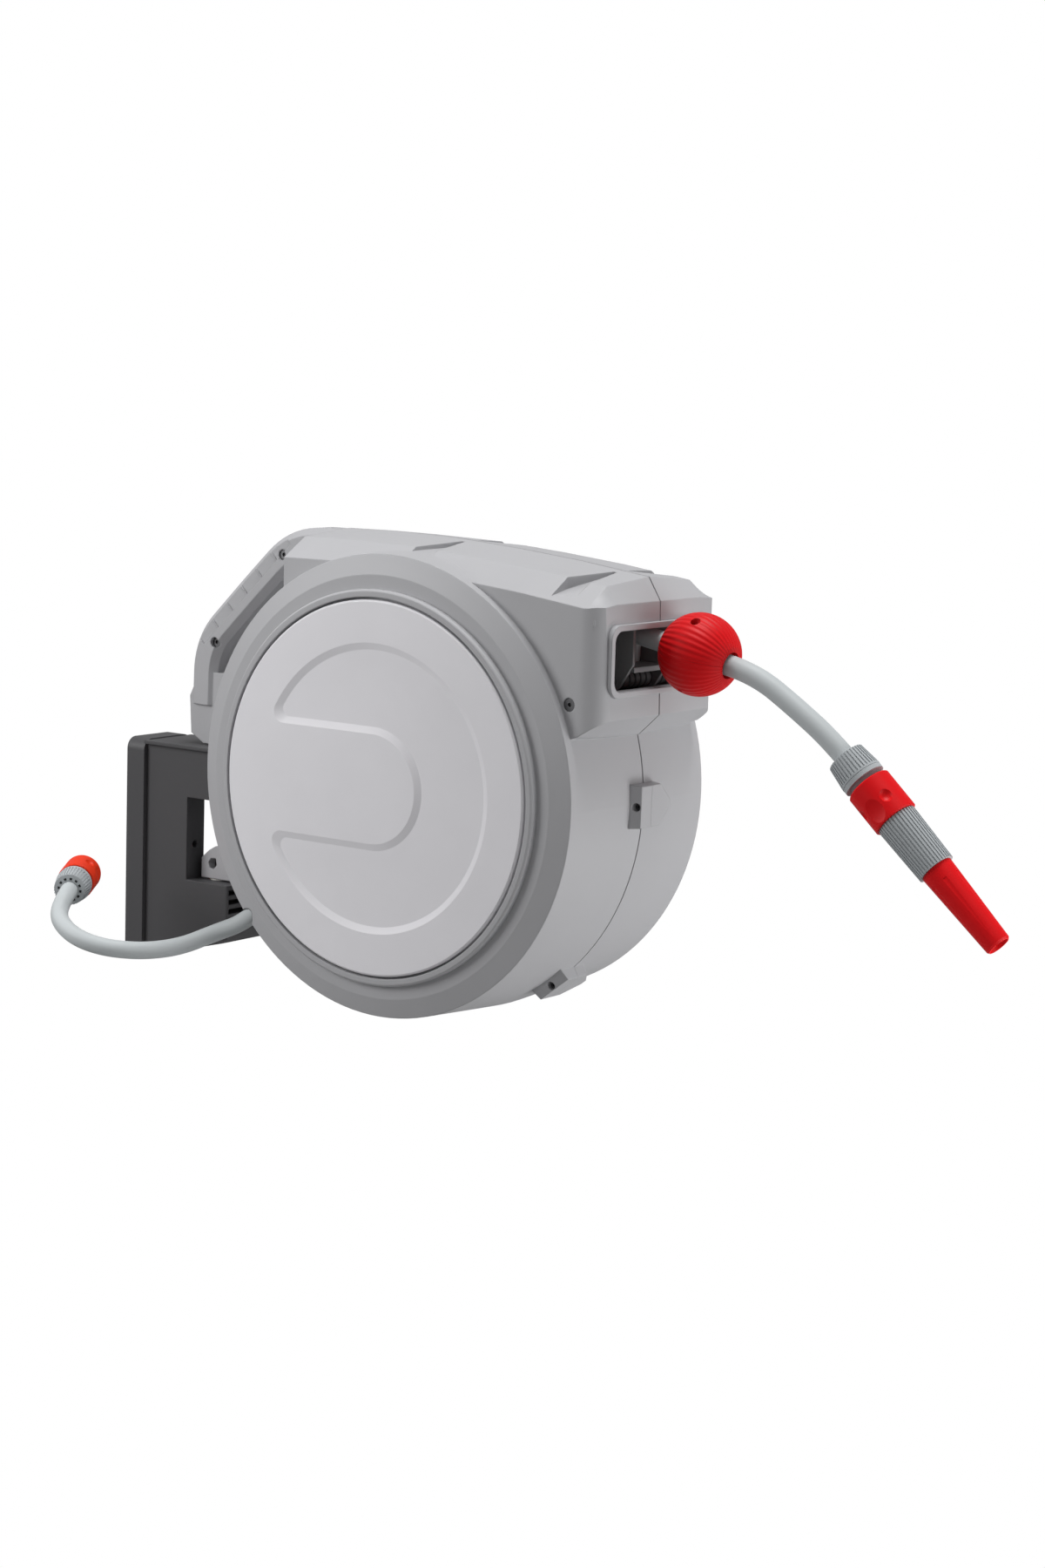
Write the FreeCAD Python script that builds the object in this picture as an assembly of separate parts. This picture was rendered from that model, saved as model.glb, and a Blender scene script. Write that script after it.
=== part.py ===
import FreeCAD, Part
import math
import os

Vec = FreeCAD.Vector

# Wall-mounted retractable garden hose reel, millimetres.
# Pieces are drawn about the drum's axle: X runs out from the wall, Y along the axle
# (the near cover is at -Y) and Z up. write() then moves them to the origin, which is
# the centre of the wall plate's back face.

# Wall bracket
plate_centre_below_axle = 94.0
plate_thickness = 20.0
plate_half_width = 30.0
plate_height = 192.0
plate_corner_radius = 10.0
plate_hole_radius = 3.3
plate_hole_across = 36.0
plate_hole_up = 150.0
plate_counterbore_radius = 6.5
plate_counterbore_depth = 12.0
bracket_half_width = 26.0
bracket_key_half_width = 20.0
bracket_key_depth = 8.0
bracket_key_height = 120.0
bracket_rim = 3.0
arm_below_plate_top = 1.0
arm_height = 45.0
arm_past_pin = 17.0
arm_corner_radius = 6.0
column_reach = 47.4
column_width = 22.0
arm_to_block = 117.0
block_reach = 95.0
block_corner_radius = 2.5
block_front_height = 49.0
block_slot_pitch = 8.0
block_slot_height = 4.5
block_slot_depth = 12.0
block_slot_inset = 2.0
block_slot_count = 4
lock_screw_radius = 2.5
lock_screw_head_radius = 3.2
lock_screw_head_height = 3.5
lock_screw_recess = 20.0
lock_screw_back_wall = 2.0
lock_screw_from_middle = 15.5
lock_screw_below_axle = 86.0

# Swivel
swivel_from_wall = 86.0
swivel_gap = 56.7
swivel_pin_radius = 6.0
lower_pin_depth = 50.0
lower_pin_from_top = 6.0
swivel_washer_radius = 11.0
swivel_washer_thickness = 1.2
lug_half_thickness = 13.0
upper_lug_height = 62.0
lower_lug_height = 28.4
lug_root = 12.0
lug_reach_past_pin = 29.0
lug_to_column = 0.5

# Round case
case_radius_seam = 190.3
case_radius_rim = case_radius_seam - 4.9
case_half_width = 90.0
ring_half_width = 96.7
ring_outer_radius = case_radius_rim - 16.1
collar_outer_radius = ring_outer_radius - 11.3
collar_inner_radius = collar_outer_radius - 6.0
collar_half_width = 103.0
collar_edge = 1.5
case_wall = 3.5
side_wall_outer = 97.0
cover_radius = collar_inner_radius - 2.0
cover_face = 104.0
cover_thickness = 5.0
cover_edge_round = 1.5
motif_outer_radius = cover_radius - 34.0
motif_bar_half_height = 44.0
motif_depth = 2.6
motif_slope = 5.5
motif_corner = 9.0
seam_groove_width = 1.2
seam_groove_depth = 1.6

# Deck and front box on top of the round case; heights of the top line are above the circle
deck_back_x = -112.6
deck_rises = [(deck_back_x, 5.9), (-67.5, 6.5), (0.0, 5.0), (66.0, 0.2), (125.0, -5.4)]
deck_top = [(x, case_radius_seam + rise) for x, rise in deck_rises]
deck_top.append((case_radius_seam - 1.9, case_radius_seam - 13.4))
deck_front_top = (case_radius_seam + 9.5, case_radius_seam - 31.5)
deck_front_low = (case_radius_seam + 12.1, case_radius_seam - 119.8)
deck_front_foot = (case_radius_seam - 6.3, case_radius_seam - 136.8)
deck_foot_rise = 4.5
deck_back_low = case_radius_seam - 40.3
deck_crown_half_width = 57.0
deck_crown_drop = 5.0
deck_half_width = 82.5
deck_bevel_drop = 21.0
deck_facet_drop = 2.8
deck_roof = 5.5
box_corner_radius = 19.0
groove_starts = [3.0, case_radius_seam - 38.3]
groove_width = 20.0
groove_end = 75.0
groove_apex = 10.0
groove_slope = 0.2
groove_wall = 2.5
window_below_box_top = 19.8
window_height = 47.0
window_high = deck_front_top[1] - window_below_box_top
window_low = window_high - window_height
window_half_width = 66.0
window_corner_radius = 9.0
window_frame_width = 4.5
window_frame_depth = 8.0
window_frame_proud = 2.4

# Carrying handle at the back
handle_path = [
    (90.3 - case_radius_seam, case_radius_seam - 9.3),
    (28.3 - case_radius_seam, case_radius_seam - 9.3),
    (-16.2 - case_radius_seam, case_radius_seam - 50.8),
    (-69.7 - case_radius_seam, case_radius_seam - 103.3),
    (-70.7 - case_radius_seam, case_radius_seam - 154.3),
]
handle_thick = 28.0
handle_half_width = 16.0
handle_corner = 6.0
handle_pad_count = 6
handle_pad_depth = 1.6
handle_pad_length = 21.0

# Screws of the case, all along Y
case_screw_radius = 2.5
tab_screw_head_radius = 3.3
handle_screw_head_radius = 4.5
box_screw_head_radius = 5.3
case_screw_head_height = 3.0
case_screw_reach = 14.0
case_screw_well = 3.0
tab_angles = [-0.5, -52.5]
tab_half_height = 16.5
tab_proud = 8.0
tab_near = 14.0
tab_far = 12.0
tab_point = 26.0
tab_draft = 3.0
handle_screws = [
    (17.7 - case_radius_seam, case_radius_seam - 19.9),
    (-55.8 - case_radius_seam, case_radius_seam - 99.6),
]
box_screw = (case_radius_seam - 15.3, window_low - 10.0)
box_screw_well = 0.8
box_screw_length = 6.0

# Hose
hose_diameter = 16.5
inlet_hose_diameter = 14.5
notch_margin = 1.5
hose_gap = 0.3
drum_layers = 6
layer_step = 14.4
guide_exit = (193.0, 130.4)
guide_bend_trim = 10.0
ball_from_axle = 238.0
ball_radius = 32.5
ball_flat = 3.5
ball_mouth_radius = 10.6
ball_mouth_depth = 8.0
ball_bore_clearance = 0.05
ball_screw_radius = 2.0
ball_screw_head_radius = 3.6
ball_screw_spacing = 33.6

# Free stretches of hose: routes of points from the object outwards
outlet_route = [
    (268.0, 0.0, 113.9),
    (291.0, 0.0, 108.84),
    (325.0, 0.0, 88.5),
    (359.5, 0.0, 65.5),
    (383.3, 0.0, 43.7),
]
inlet_route = [
    (-130.0, -85.0, -115.6),
    (-145.0, -85.0, -128.94),
    (-170.1, -96.0, -140.6),
    (-181.3, -122.9, -149.4),
    (-190.5, -154.9, -150.2),
    (-204.3, -181.4, -146.6),
    (-222.6, -193.0, -141.8),
    (-242.6, -193.8, -135.4),
    (-267.1, -181.2, -127.3),
    (-273.4, -164.5, -112.3),
    (-288.4, -141.0, -109.6),
]

# Quick connector and spray nozzle on the hose's outer end
nut_back_radius = 15.0
nut_front_radius = 17.2
nut_length = 18.0
neck_radius = 17.0
neck_length = 3.7
connector_core_radius = 12.0
water_way_radius = 4.0
nut_end = 3.7
sleeve_radius = 17.9
sleeve_length = 34.0
sleeve_wall = 3.0
sleeve_travel = 4.0
nozzle_body_radius = 16.2
nozzle_body_end_radius = 15.0
nozzle_body_length = 48.0
nozzle_spigot_radius = 8.0
nozzle_spigot_length = 26.0
seal_back = -20.0
tip_root_radius = 12.9
tip_end_radius = 10.1
tip_length = 74.0
tip_bore_radius = 5.0
tip_flute_count = 6
grip_rib_count = 36
grip_rib_height = 0.7

# Drum and what turns with it
hub_radius = 66.0
hub_wall = 4.0
pack_half_width = 67.2
flange_radius = 165.0
flange_thickness = 2.8
flange_clearance = 0.3
web_thickness = 4.0
spindle_radius = 8.0
spindle_near_end = 16.0
running_clearance = 0.05
fixed_clearance = 0.02
bush_wall = 2.5
spigot_radius = 10.0
spigot_bore = 6.5
spigot_end = 89.0
elbow_tail_radius = 6.0
elbow_tail_bore = 3.5
hub_outlet_y = -50.0
riser_radius = 8.0
seal_section = 2.4
spring_case_radius = 60.5
spring_case_wall = 2.0
spring_case_start = 8.0
spring_case_end = 60.0
spring_strip = 1.2
spring_turns = 8
arbor_radius = 13.0
ratchet_radius = 52.0
ratchet_root_radius = 46.0
ratchet_inner_radius = 38.0
ratchet_teeth = 24
ratchet_thickness = 6.0
pawl_pivot = (0.0, -72.0)
pawl_pin_radius = 3.0
flange_screw_radius = 1.5
flange_screw_ring = 64.0
flange_screw_count = 6

# Level wind: gears, reversing screw, guide rod and hose guide
gear_module = 1.5
idler_rim_gap = 2.0
idler_pin_radius = 5.0
idler_window_ring = 48.0
idler_window_radius = 17.0
gear_thickness = 5.0
gear_gap = 0.5
screw_axis = (case_radius_seam - 18.3, window_low + 4.0)
screw_radius = 7.0
screw_journal_radius = 4.0
thread_pitch = 7.5
thread_turns = 8
rod_axis = (case_radius_seam - 2.3, window_high + 6.5)
rod_radius = 4.0
roller_radius = 7.0
roller_out = case_radius_seam - 26.3
roller_pin_radius = 1.5
cheek_thickness = 3.0
guide_front = case_radius_seam + 3.7
guide_wall = 4.0

# Teeth: the idler bridges the drum's gear and the screw's, as large as the round case lets it be
train_teeth = 2 * math.ceil(math.hypot(*screw_axis) / gear_module / 2 + 1)
train_reach = gear_module * train_teeth / 2
idler_room = case_radius_seam - case_wall - gear_module - idler_rim_gap - train_reach
idler_teeth = 2 * math.floor(idler_room / gear_module)
small_gear_teeth = train_teeth - idler_teeth

side_wall_inner = side_wall_outer - case_wall
box_wall_inner = deck_half_width - case_wall
wall_to_axle = swivel_from_wall + swivel_gap + case_radius_seam
swivel_x = swivel_from_wall - wall_to_axle
plate_back = -wall_to_axle
plate_front = plate_back + plate_thickness
plate_high = plate_height / 2 - plate_centre_below_axle
plate_low = plate_high - plate_height
arm_top = plate_high - arm_below_plate_top
arm_low = arm_top - arm_height
block_top = arm_top - arm_to_block
upper_lug_low = arm_top + swivel_washer_thickness + hose_gap
lower_lug_low = block_top + swivel_washer_thickness + hose_gap
lower_lug_top = lower_lug_low + lower_lug_height
column_front = plate_front + column_reach
hose_radius = hose_diameter / 2
inlet_fitting_size = inlet_hose_diameter / hose_diameter
inlet_hose_radius = inlet_hose_diameter / 2
pack_radius = hub_radius + hose_diameter + (drum_layers - 1) * layer_step
drum_face = pack_half_width + flange_clearance + flange_thickness
gear_near = -drum_face - gear_gap - gear_thickness
gear_far = -drum_face - gear_gap


def wire_xz(points, y):
    corners = [Vec(x, y, z) for x, z in points]
    return Part.makePolygon(corners + corners[:1])


def slab(points, y_low, y_high):
    """A plate whose outline lies in XZ, between two values of Y."""
    return Part.Face(wire_xz(points, y_low)).extrude(Vec(0, y_high - y_low, 0))


def plan_plate(points, z_low, z_high):
    """A plate whose outline lies in XY, between two heights."""
    corners = [Vec(x, y, z_low) for x, y in points]
    return Part.Face(Part.makePolygon(corners + corners[:1])).extrude(Vec(0, 0, z_high - z_low))


def block(x_low, x_high, y_low, y_high, z_low, z_high):
    return Part.makeBox(x_high - x_low, y_high - y_low, z_high - z_low, Vec(x_low, y_low, z_low))


def rod_y(x, z, y_low, y_high, radius):
    return Part.makeCylinder(radius, y_high - y_low, Vec(x, y_low, z), Vec(0, 1, 0))


def rod_z(x, y, z_low, z_high, radius):
    return Part.makeCylinder(radius, z_high - z_low, Vec(x, y, z_low), Vec(0, 0, 1))


def rod_x(x_low, x_high, y, z, radius):
    return Part.makeCylinder(radius, x_high - x_low, Vec(x_low, y, z), Vec(1, 0, 0))


def turned(profile, centre=(0.0, 0.0)):
    """Revolve (radius, y) points about an axis along Y."""
    corners = [Vec(centre[0] + radius, y, centre[1]) for radius, y in profile]
    face = Part.Face(Part.makePolygon(corners + corners[:1]))
    return face.revolve(Vec(centre[0], 0, centre[1]), Vec(0, 1, 0), 360)


def joined(shapes):
    return shapes[0].fuse(shapes[1:]).removeSplitter()


def mirrored(shape):
    return shape.mirror(Vec(0, 0, 0), Vec(0, 1, 0))


def on_circle(radius, angle):
    return (radius * math.cos(math.radians(angle)), radius * math.sin(math.radians(angle)))


def rounded_plan(x_low, x_high, half_width, radius, z_low, z_high):
    """An upright block whose two front corners are round."""
    body = block(x_low, x_high, -half_width, half_width, z_low, z_high)
    front = [edge for edge in body.Edges if is_upright(edge) and edge.CenterOfMass.x > x_high - radius]
    return body.makeFillet(radius, front)


def is_upright(edge):
    start, end = edge.Vertexes[0].Point, edge.Vertexes[-1].Point
    return abs(start.x - end.x) < 0.01 and abs(start.y - end.y) < 0.01


def route_wire(points, longest_trim=1000.0):
    """Straight runs joined by tangent arcs, each as large as its two runs allow."""
    corners = [Vec(*point) for point in points]
    edges = []
    radii = []
    start = corners[0]
    for before, corner, after in zip(corners, corners[1:], corners[2:]):
        back = before - corner
        ahead = after - corner
        trim = min(0.45 * min(back.Length, ahead.Length), longest_trim)
        back.normalize()
        ahead.normalize()
        half_turn = (math.pi - back.getAngle(ahead)) / 2
        radius = trim / math.tan(half_turn)
        arc_start = corner + back * trim
        arc_end = corner + ahead * trim
        inward = back + ahead
        inward.normalize()
        middle = corner + inward * (radius / math.cos(half_turn) - radius)
        edges.append(Part.LineSegment(start, arc_start).toShape())
        edges.append(Part.Arc(arc_start, middle, arc_end).toShape())
        radii.append(radius)
        start = arc_end
    edges.append(Part.LineSegment(start, corners[-1]).toShape())
    return Part.Wire(edges), radii


def hose_along(points, name, radius, longest_trim=1000.0):
    path, radii = route_wire(points, longest_trim)
    start = Vec(*points[0])
    section = Part.Wire(Part.makeCircle(radius, start, Vec(*points[1]) - start))
    hose = path.makePipeShell([section], True, False)
    expected = math.pi * radius ** 2 * path.Length
    print(name, "length", round(path.Length, 1), "radii", [round(value) for value in radii],
          "volume over expected", round(hose.Volume / expected, 4))
    return hose


def along(start, direction):
    """Placement that carries the X axis at the origin onto a line in the XZ plane or in space."""
    return FreeCAD.Placement(Vec(*start), FreeCAD.Rotation(Vec(1, 0, 0), Vec(*direction)))


def turned_x(profile):
    """Revolve (x, radius) points about the X axis."""
    corners = [Vec(x, 0, radius) for x, radius in profile]
    return Part.Face(Part.makePolygon(corners + corners[:1])).revolve(Vec(0, 0, 0), Vec(1, 0, 0), 360)


def ribbed_grip(x_low, x_high, radius_low, radius_high, bore):
    """A cone along X with moulded grip ribs down its length."""
    core = turned_x([(x_low, bore), (x_low, radius_low), (x_high, radius_high), (x_high, bore)])
    rib_half = math.pi * radius_low / grip_rib_count / 2
    grooves = []
    for index in range(grip_rib_count):
        low = [Vec(x_low - 1, -rib_half, radius_low - grip_rib_height),
               Vec(x_low - 1, rib_half, radius_low - grip_rib_height),
               Vec(x_low - 1, rib_half, radius_low + 2), Vec(x_low - 1, -rib_half, radius_low + 2)]
        high = [Vec(x_high + 1, -rib_half, radius_high - grip_rib_height),
                Vec(x_high + 1, rib_half, radius_high - grip_rib_height),
                Vec(x_high + 1, rib_half, radius_high + 2), Vec(x_high + 1, -rib_half, radius_high + 2)]
        ends = [Part.makePolygon(corners + corners[:1]) for corners in (low, high)]
        groove = Part.makeLoft(ends, True, True)
        groove.rotate(Vec(0, 0, 0), Vec(1, 0, 0), 360.0 * index / grip_rib_count)
        grooves.append(groove)
    return core.cut(grooves)


def gear(teeth, centre, y_low, y_high, phase, bore):
    """A spur gear along Y with straight-flanked teeth; phase is the angle of one tooth."""
    pitch_radius = gear_module * teeth / 2
    pitch = 360.0 / teeth
    tip = pitch_radius + 0.8 * gear_module
    root = pitch_radius - 1.1 * gear_module
    points = []
    for index in range(teeth):
        middle = phase + index * pitch
        for radius, share in ((root, -0.31), (tip, -0.12), (tip, 0.12), (root, 0.31)):
            x, z = on_circle(radius, middle + share * pitch)
            points.append((centre[0] + x, centre[1] + z))
    return slab(points, y_low, y_high).cut(rod_y(centre[0], centre[1], y_low - 1, y_high + 1, bore))


# Wall bracket

def wall_plate():
    plate = block(plate_back, plate_front, -plate_half_width, plate_half_width, plate_low, plate_high)
    corners = [edge for edge in plate.Edges if abs(edge.Vertexes[0].X - edge.Vertexes[-1].X) > 1]
    plate = plate.makeFillet(plate_corner_radius, corners)
    middle = -plate_centre_below_axle
    cuts = []
    for side in (-1, 1):
        for up in (-1, 1):
            y = side * plate_hole_across / 2
            z = middle + up * plate_hole_up / 2
            cuts.append(rod_x(plate_back - 1, plate_front + 1, y, z, plate_hole_radius))
            cuts.append(rod_x(plate_front - plate_counterbore_depth, plate_front + 1, y, z,
                              plate_counterbore_radius))
    slack = hose_gap
    cuts.append(block(plate_front - bracket_key_depth - slack, plate_front + 1,
                      -bracket_key_half_width - slack, bracket_key_half_width + slack,
                      middle - bracket_key_height / 2 - slack, middle + bracket_key_height / 2 + slack))
    cuts.append(rod_x(plate_back + lock_screw_back_wall, plate_front, -lock_screw_from_middle,
                      -lock_screw_below_axle, lock_screw_radius + fixed_clearance))
    return plate.cut(cuts)


def bracket_body():
    """Arm, column and foot block in one moulding; a thin rim runs round its top and foot."""
    middle = -plate_centre_below_axle
    half = bracket_half_width
    arm_front = swivel_x + arm_past_pin
    block_front = plate_front + block_reach
    arm = rounded_plan(plate_front, arm_front, half, arm_corner_radius, arm_low, arm_top)
    cap = rounded_plan(plate_front, arm_front, plate_half_width, arm_corner_radius,
                       arm_top - bracket_rim, arm_top)
    column = block(plate_front, column_front, -half, column_width - half, block_top - 1, arm_low + 1)
    foot = rounded_plan(plate_front, block_front, half, block_corner_radius, plate_low, block_top)
    underside = [(plate_front, plate_low), (block_front, block_top - block_front_height)]
    foot = foot.cut(slab(underside + [(block_front + 1, plate_low - 1), (plate_front, plate_low - 1)],
                         -half - 1, half + 1))
    sole = slab(underside + [(x, z + bracket_rim) for x, z in underside[::-1]],
                -plate_half_width, plate_half_width)
    key = block(plate_front - bracket_key_depth, plate_front + 1, -bracket_key_half_width,
                bracket_key_half_width, middle - bracket_key_height / 2, middle + bracket_key_height / 2)
    body = joined([arm, cap, column, foot, sole, key])
    return body.cut(bracket_slots(block_front) + bracket_bores())


def bracket_slots(block_front):
    half = bracket_half_width - block_slot_inset
    slots = []
    for index in range(block_slot_count):
        high = block_top - block_slot_pitch / 2 - index * block_slot_pitch
        slots.append(block(block_front - block_slot_depth, block_front + 1, -half, half,
                           high - block_slot_height, high))
    return slots


def bracket_bores():
    """Holes for the swivel pins and for the sunk screw that locks the bracket to its plate."""
    y, z = -lock_screw_from_middle, -lock_screw_below_axle
    seat = column_front - lock_screw_recess
    return [rod_z(swivel_x, 0, plate_low - 1, arm_top + 1, swivel_pin_radius + fixed_clearance),
            rod_x(plate_back, seat, y, z, lock_screw_radius + fixed_clearance),
            rod_x(seat - lock_screw_head_height, column_front + 1, y, z,
                  lock_screw_head_radius + fixed_clearance)]


def bracket_lock_screw():
    y, z = -lock_screw_from_middle, -lock_screw_below_axle
    seat = column_front - lock_screw_recess
    shank = rod_x(plate_back + lock_screw_back_wall + 1, seat - lock_screw_head_height, y, z,
                  lock_screw_radius)
    head = rod_x(seat - lock_screw_head_height, seat, y, z, lock_screw_head_radius)
    return joined([shank, head])


def upper_swivel_pin():
    return rod_z(swivel_x, 0, arm_low + 2, upper_lug_low + upper_lug_height / 2, swivel_pin_radius)


def lower_swivel_pin():
    return rod_z(swivel_x, 0, block_top - lower_pin_depth, lower_lug_top - lower_pin_from_top,
                 swivel_pin_radius)


def swivel_washers():
    washers = []
    for low in (arm_top, block_top):
        disc = rod_z(swivel_x, 0, low, low + swivel_washer_thickness, swivel_washer_radius)
        washers.append(disc.cut(rod_z(swivel_x, 0, low - 1, low + 3, swivel_pin_radius + fixed_clearance)))
    return Part.makeCompound(washers)


# Case shells

def deck_profile(drop, front_drop, foot_rise, inset, roof):
    """Outline of the deck and box at one Y, every face drawn in by inset and the top by roof."""
    top = [(x, z - drop - roof) for x, z in deck_top]
    top[0] = (top[0][0] + inset, top[0][1])
    top[-1] = (top[-1][0] - inset, top[-1][1])
    front_x, front_z = deck_front_top
    low_x, low_z = deck_front_low
    foot_x, foot_z = deck_front_foot
    return ([(deck_back_x + inset, deck_back_low)] + top
            + [(front_x - inset, front_z - front_drop - roof), (low_x - inset, low_z + 0.4 * inset),
               (foot_x - 0.73 * inset, foot_z + foot_rise + 0.68 * inset), (0.0, 0.0)])


def deck_solid(inset, roof):
    """The bevelled deck and front box; the foot of its front rises a little towards both sides."""
    half = deck_half_width - inset
    crown = deck_crown_half_width - inset / 2
    side = (deck_bevel_drop, deck_facet_drop, deck_foot_rise)
    shoulder = (deck_crown_drop, 0.0, deck_foot_rise / 2)
    wires = []
    for y, falls in ((-half, side), (-crown, shoulder), (0.0, (0.0, 0.0, 0.0)), (crown, shoulder),
                     (half, side)):
        wires.append(wire_xz(deck_profile(*falls, inset, roof), y))
    reach = deck_front_low[0]
    trim = rounded_plan(-reach, reach - inset, half, box_corner_radius - inset, -reach, reach + 20)
    return Part.makeLoft(wires, True, True).common(trim)


def deck_height(x):
    """Height of the deck's middle line."""
    for (low_x, low_z), (high_x, high_z) in zip(deck_top, deck_top[1:]):
        if low_x <= x <= high_x:
            return low_z + (high_z - low_z) * (x - low_x) / (high_x - low_x)
    return deck_top[-1][1]


def deck_groove(side, start, wall):
    """Tapering groove that sets one panel of the deck off from the next; wall widens it to its tray."""
    crown = deck_crown_half_width
    outer = deck_half_width + 3
    fall = (deck_bevel_drop - deck_crown_drop) * (groove_end - crown) / (deck_half_width - crown)
    floor = deck_height(start + groove_width / 2) - deck_crown_drop - fall - wall
    left, right = start - wall, start + groove_width + wall
    apex = groove_apex - 2 * wall
    plan = [(left, outer), (left, crown), (start + 0.5 * groove_width, apex),
            (start + 0.65 * groove_width, apex), (right + 1.5, crown), (right - 2, outer)]
    prism = plan_plate([(x, side * y) for x, y in plan], floor - 40, floor + 60)
    low = floor - groove_slope * (outer - groove_end)
    high = floor + groove_slope * groove_end
    corners = [Vec(left - 1, side * outer, low), Vec(left - 1, 0, high), Vec(left - 1, 0, high + 60),
               Vec(left - 1, side * outer, high + 60)]
    above = Part.Face(Part.makePolygon(corners + corners[:1])).extrude(Vec(right - left + 4, 0, 0))
    return prism.common(above)


def case_solid():
    profile = [(0.0, 0.0), (case_radius_seam, 0.0), (case_radius_rim, -case_half_width),
               (ring_outer_radius, -ring_half_width), (collar_outer_radius, -ring_half_width),
               (collar_outer_radius, -collar_half_width + collar_edge),
               (collar_outer_radius - collar_edge, -collar_half_width),
               (collar_inner_radius, -collar_half_width), (collar_inner_radius, -side_wall_outer),
               (0.0, -side_wall_outer)]
    half = turned(profile)
    return joined([half, mirrored(half)])


def case_cavity():
    wall = case_wall
    profile = [(0.0, 0.0), (case_radius_seam - wall, 0.0), (case_radius_rim - wall, -case_half_width + 1.0),
               (ring_outer_radius - wall, -side_wall_inner), (0.0, -side_wall_inner)]
    half = turned(profile)
    return joined([half, mirrored(half)])


def handle_solid():
    points = [(x, 0.0, z) for x, z in handle_path]
    path, radii = route_wire(points)
    thick = handle_thick / 2
    wide = handle_half_width
    cut = handle_corner
    x, z = handle_path[0]
    corners = [Vec(x, -wide + cut, z - thick), Vec(x, wide - cut, z - thick), Vec(x, wide, z - thick + cut),
               Vec(x, wide, z + thick - cut), Vec(x, wide - cut, z + thick), Vec(x, -wide + cut, z + thick),
               Vec(x, -wide, z + thick - cut), Vec(x, -wide, z - thick + cut)]
    section = Part.makePolygon(corners + corners[:1])
    print("handle radii", [round(radius) for radius in radii])
    return path.makePipeShell([section], True, False).cut(finger_pads())


def finger_pads():
    """Shallow grip pads in both side faces of the handle's slope."""
    (start_x, start_z), (end_x, end_z) = handle_path[1], handle_path[3]
    slope = math.degrees(math.atan2(start_z - end_z, start_x - end_x))
    length = math.hypot(start_x - end_x, start_z - end_z)
    pads = []
    for index in range(handle_pad_count):
        centre = (index + 0.5 - handle_pad_count / 2) * (handle_pad_length + 1.2)
        for side in (-1, 1):
            low, high = sorted((side * (handle_half_width - handle_pad_depth),
                                side * (handle_half_width + 1)))
            pad = block(centre - handle_pad_length / 2, centre + handle_pad_length / 2, low, high,
                        -1.0, handle_thick / 2 + 1)
            pad.rotate(Vec(0, 0, 0), Vec(0, 1, 0), -slope)
            middle = handle_pad_middle(length)
            pad.translate(Vec(middle[0], 0, middle[1]))
            pads.append(pad)
    return pads


def handle_pad_middle(length):
    (start_x, start_z), (middle_x, middle_z) = handle_path[1], handle_path[2]
    share = length * 0.5 / math.hypot(start_x - middle_x, start_z - middle_z)
    return (start_x + (middle_x - start_x) * share, start_z + (middle_z - start_z) * share)


def upper_lug():
    end = swivel_x - lug_reach_past_pin
    low = upper_lug_low
    high = upper_lug_low + upper_lug_height
    root = lug_root - case_radius_seam
    outline = [(root, low), (end + 16, low), (end + 2, low + 8), (end, low + 40), (end + 8, high - 6),
               (end + 20, high), (root, high)]
    return slab(outline, -lug_half_thickness, lug_half_thickness)


def lower_lug():
    """Ear on the lower pin, rounded about it to turn clear of the column; the pin shows in its window."""
    reach = swivel_x - column_front - lug_to_column
    end = swivel_x - reach
    low = lower_lug_low
    high = lower_lug_top
    root = 3 * lug_root - case_radius_seam
    half = lug_half_thickness - 1
    outline = [(root, low), (end + 2, low), (end, low + 2), (end, low + 13), (swivel_x - 5, high - 4),
               (swivel_x + 2, high), (root, high)]
    corners = [(-5.7, 13.7), (-2.9, 17.5), (2.8, 18.0), (3.9, 12.0), (0.5, 8.2), (-3.6, 8.8)]
    window = slab([(swivel_x + x, low + z) for x, z in corners], -half - 1, half + 1)
    upright = [edge for edge in window.Edges if abs(edge.Vertexes[0].Y - edge.Vertexes[-1].Y) > 1]
    rounded = joined([rod_z(swivel_x, 0, low, high, reach), block(swivel_x, root, -half, half, low, high)])
    return slab(outline, -half, half).common(rounded).cut(window.makeFillet(1.3, upright))


def seam_tabs():
    """House-shaped tabs over the seam that carry the case's rim screws."""
    tabs = []
    for angle in tab_angles:
        wires = []
        for x, draft in ((case_radius_seam - 12, tab_draft * 1.5), (case_radius_seam, tab_draft),
                         (case_radius_seam + tab_proud, 0.0)):
            near, far, point = -tab_near - draft, tab_far + draft / 3, tab_point + draft / 3
            high = tab_half_height + draft / 4
            corners = [Vec(x, near, -high), Vec(x, far, -high), Vec(x, point, -3), Vec(x, point, 3),
                       Vec(x, far, high), Vec(x, near, high)]
            wires.append(Part.makePolygon(corners + corners[:1]))
        tab = Part.makeLoft(wires, True, True)
        tab.rotate(Vec(0, 0, 0), Vec(0, 1, 0), -angle)
        tabs.append(tab)
    return tabs


def tab_screw_places():
    return [on_circle(case_radius_seam + tab_proud / 2, angle) for angle in tab_angles]


def case_screw_list():
    """(x, z, y of the outer face, depth of the well, y of the tip, head radius) of each case screw."""
    well = case_screw_well
    tip = case_screw_reach
    places = [(x, z, -tab_near, well, tip, tab_screw_head_radius) for x, z in tab_screw_places()]
    places += [(x, z, -handle_half_width, well, tip, handle_screw_head_radius) for x, z in handle_screws]
    x, z = box_screw
    box_tip = -deck_half_width + box_screw_length
    places.append((x, z, -deck_half_width, box_screw_well, box_tip, box_screw_head_radius))
    return places


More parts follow.
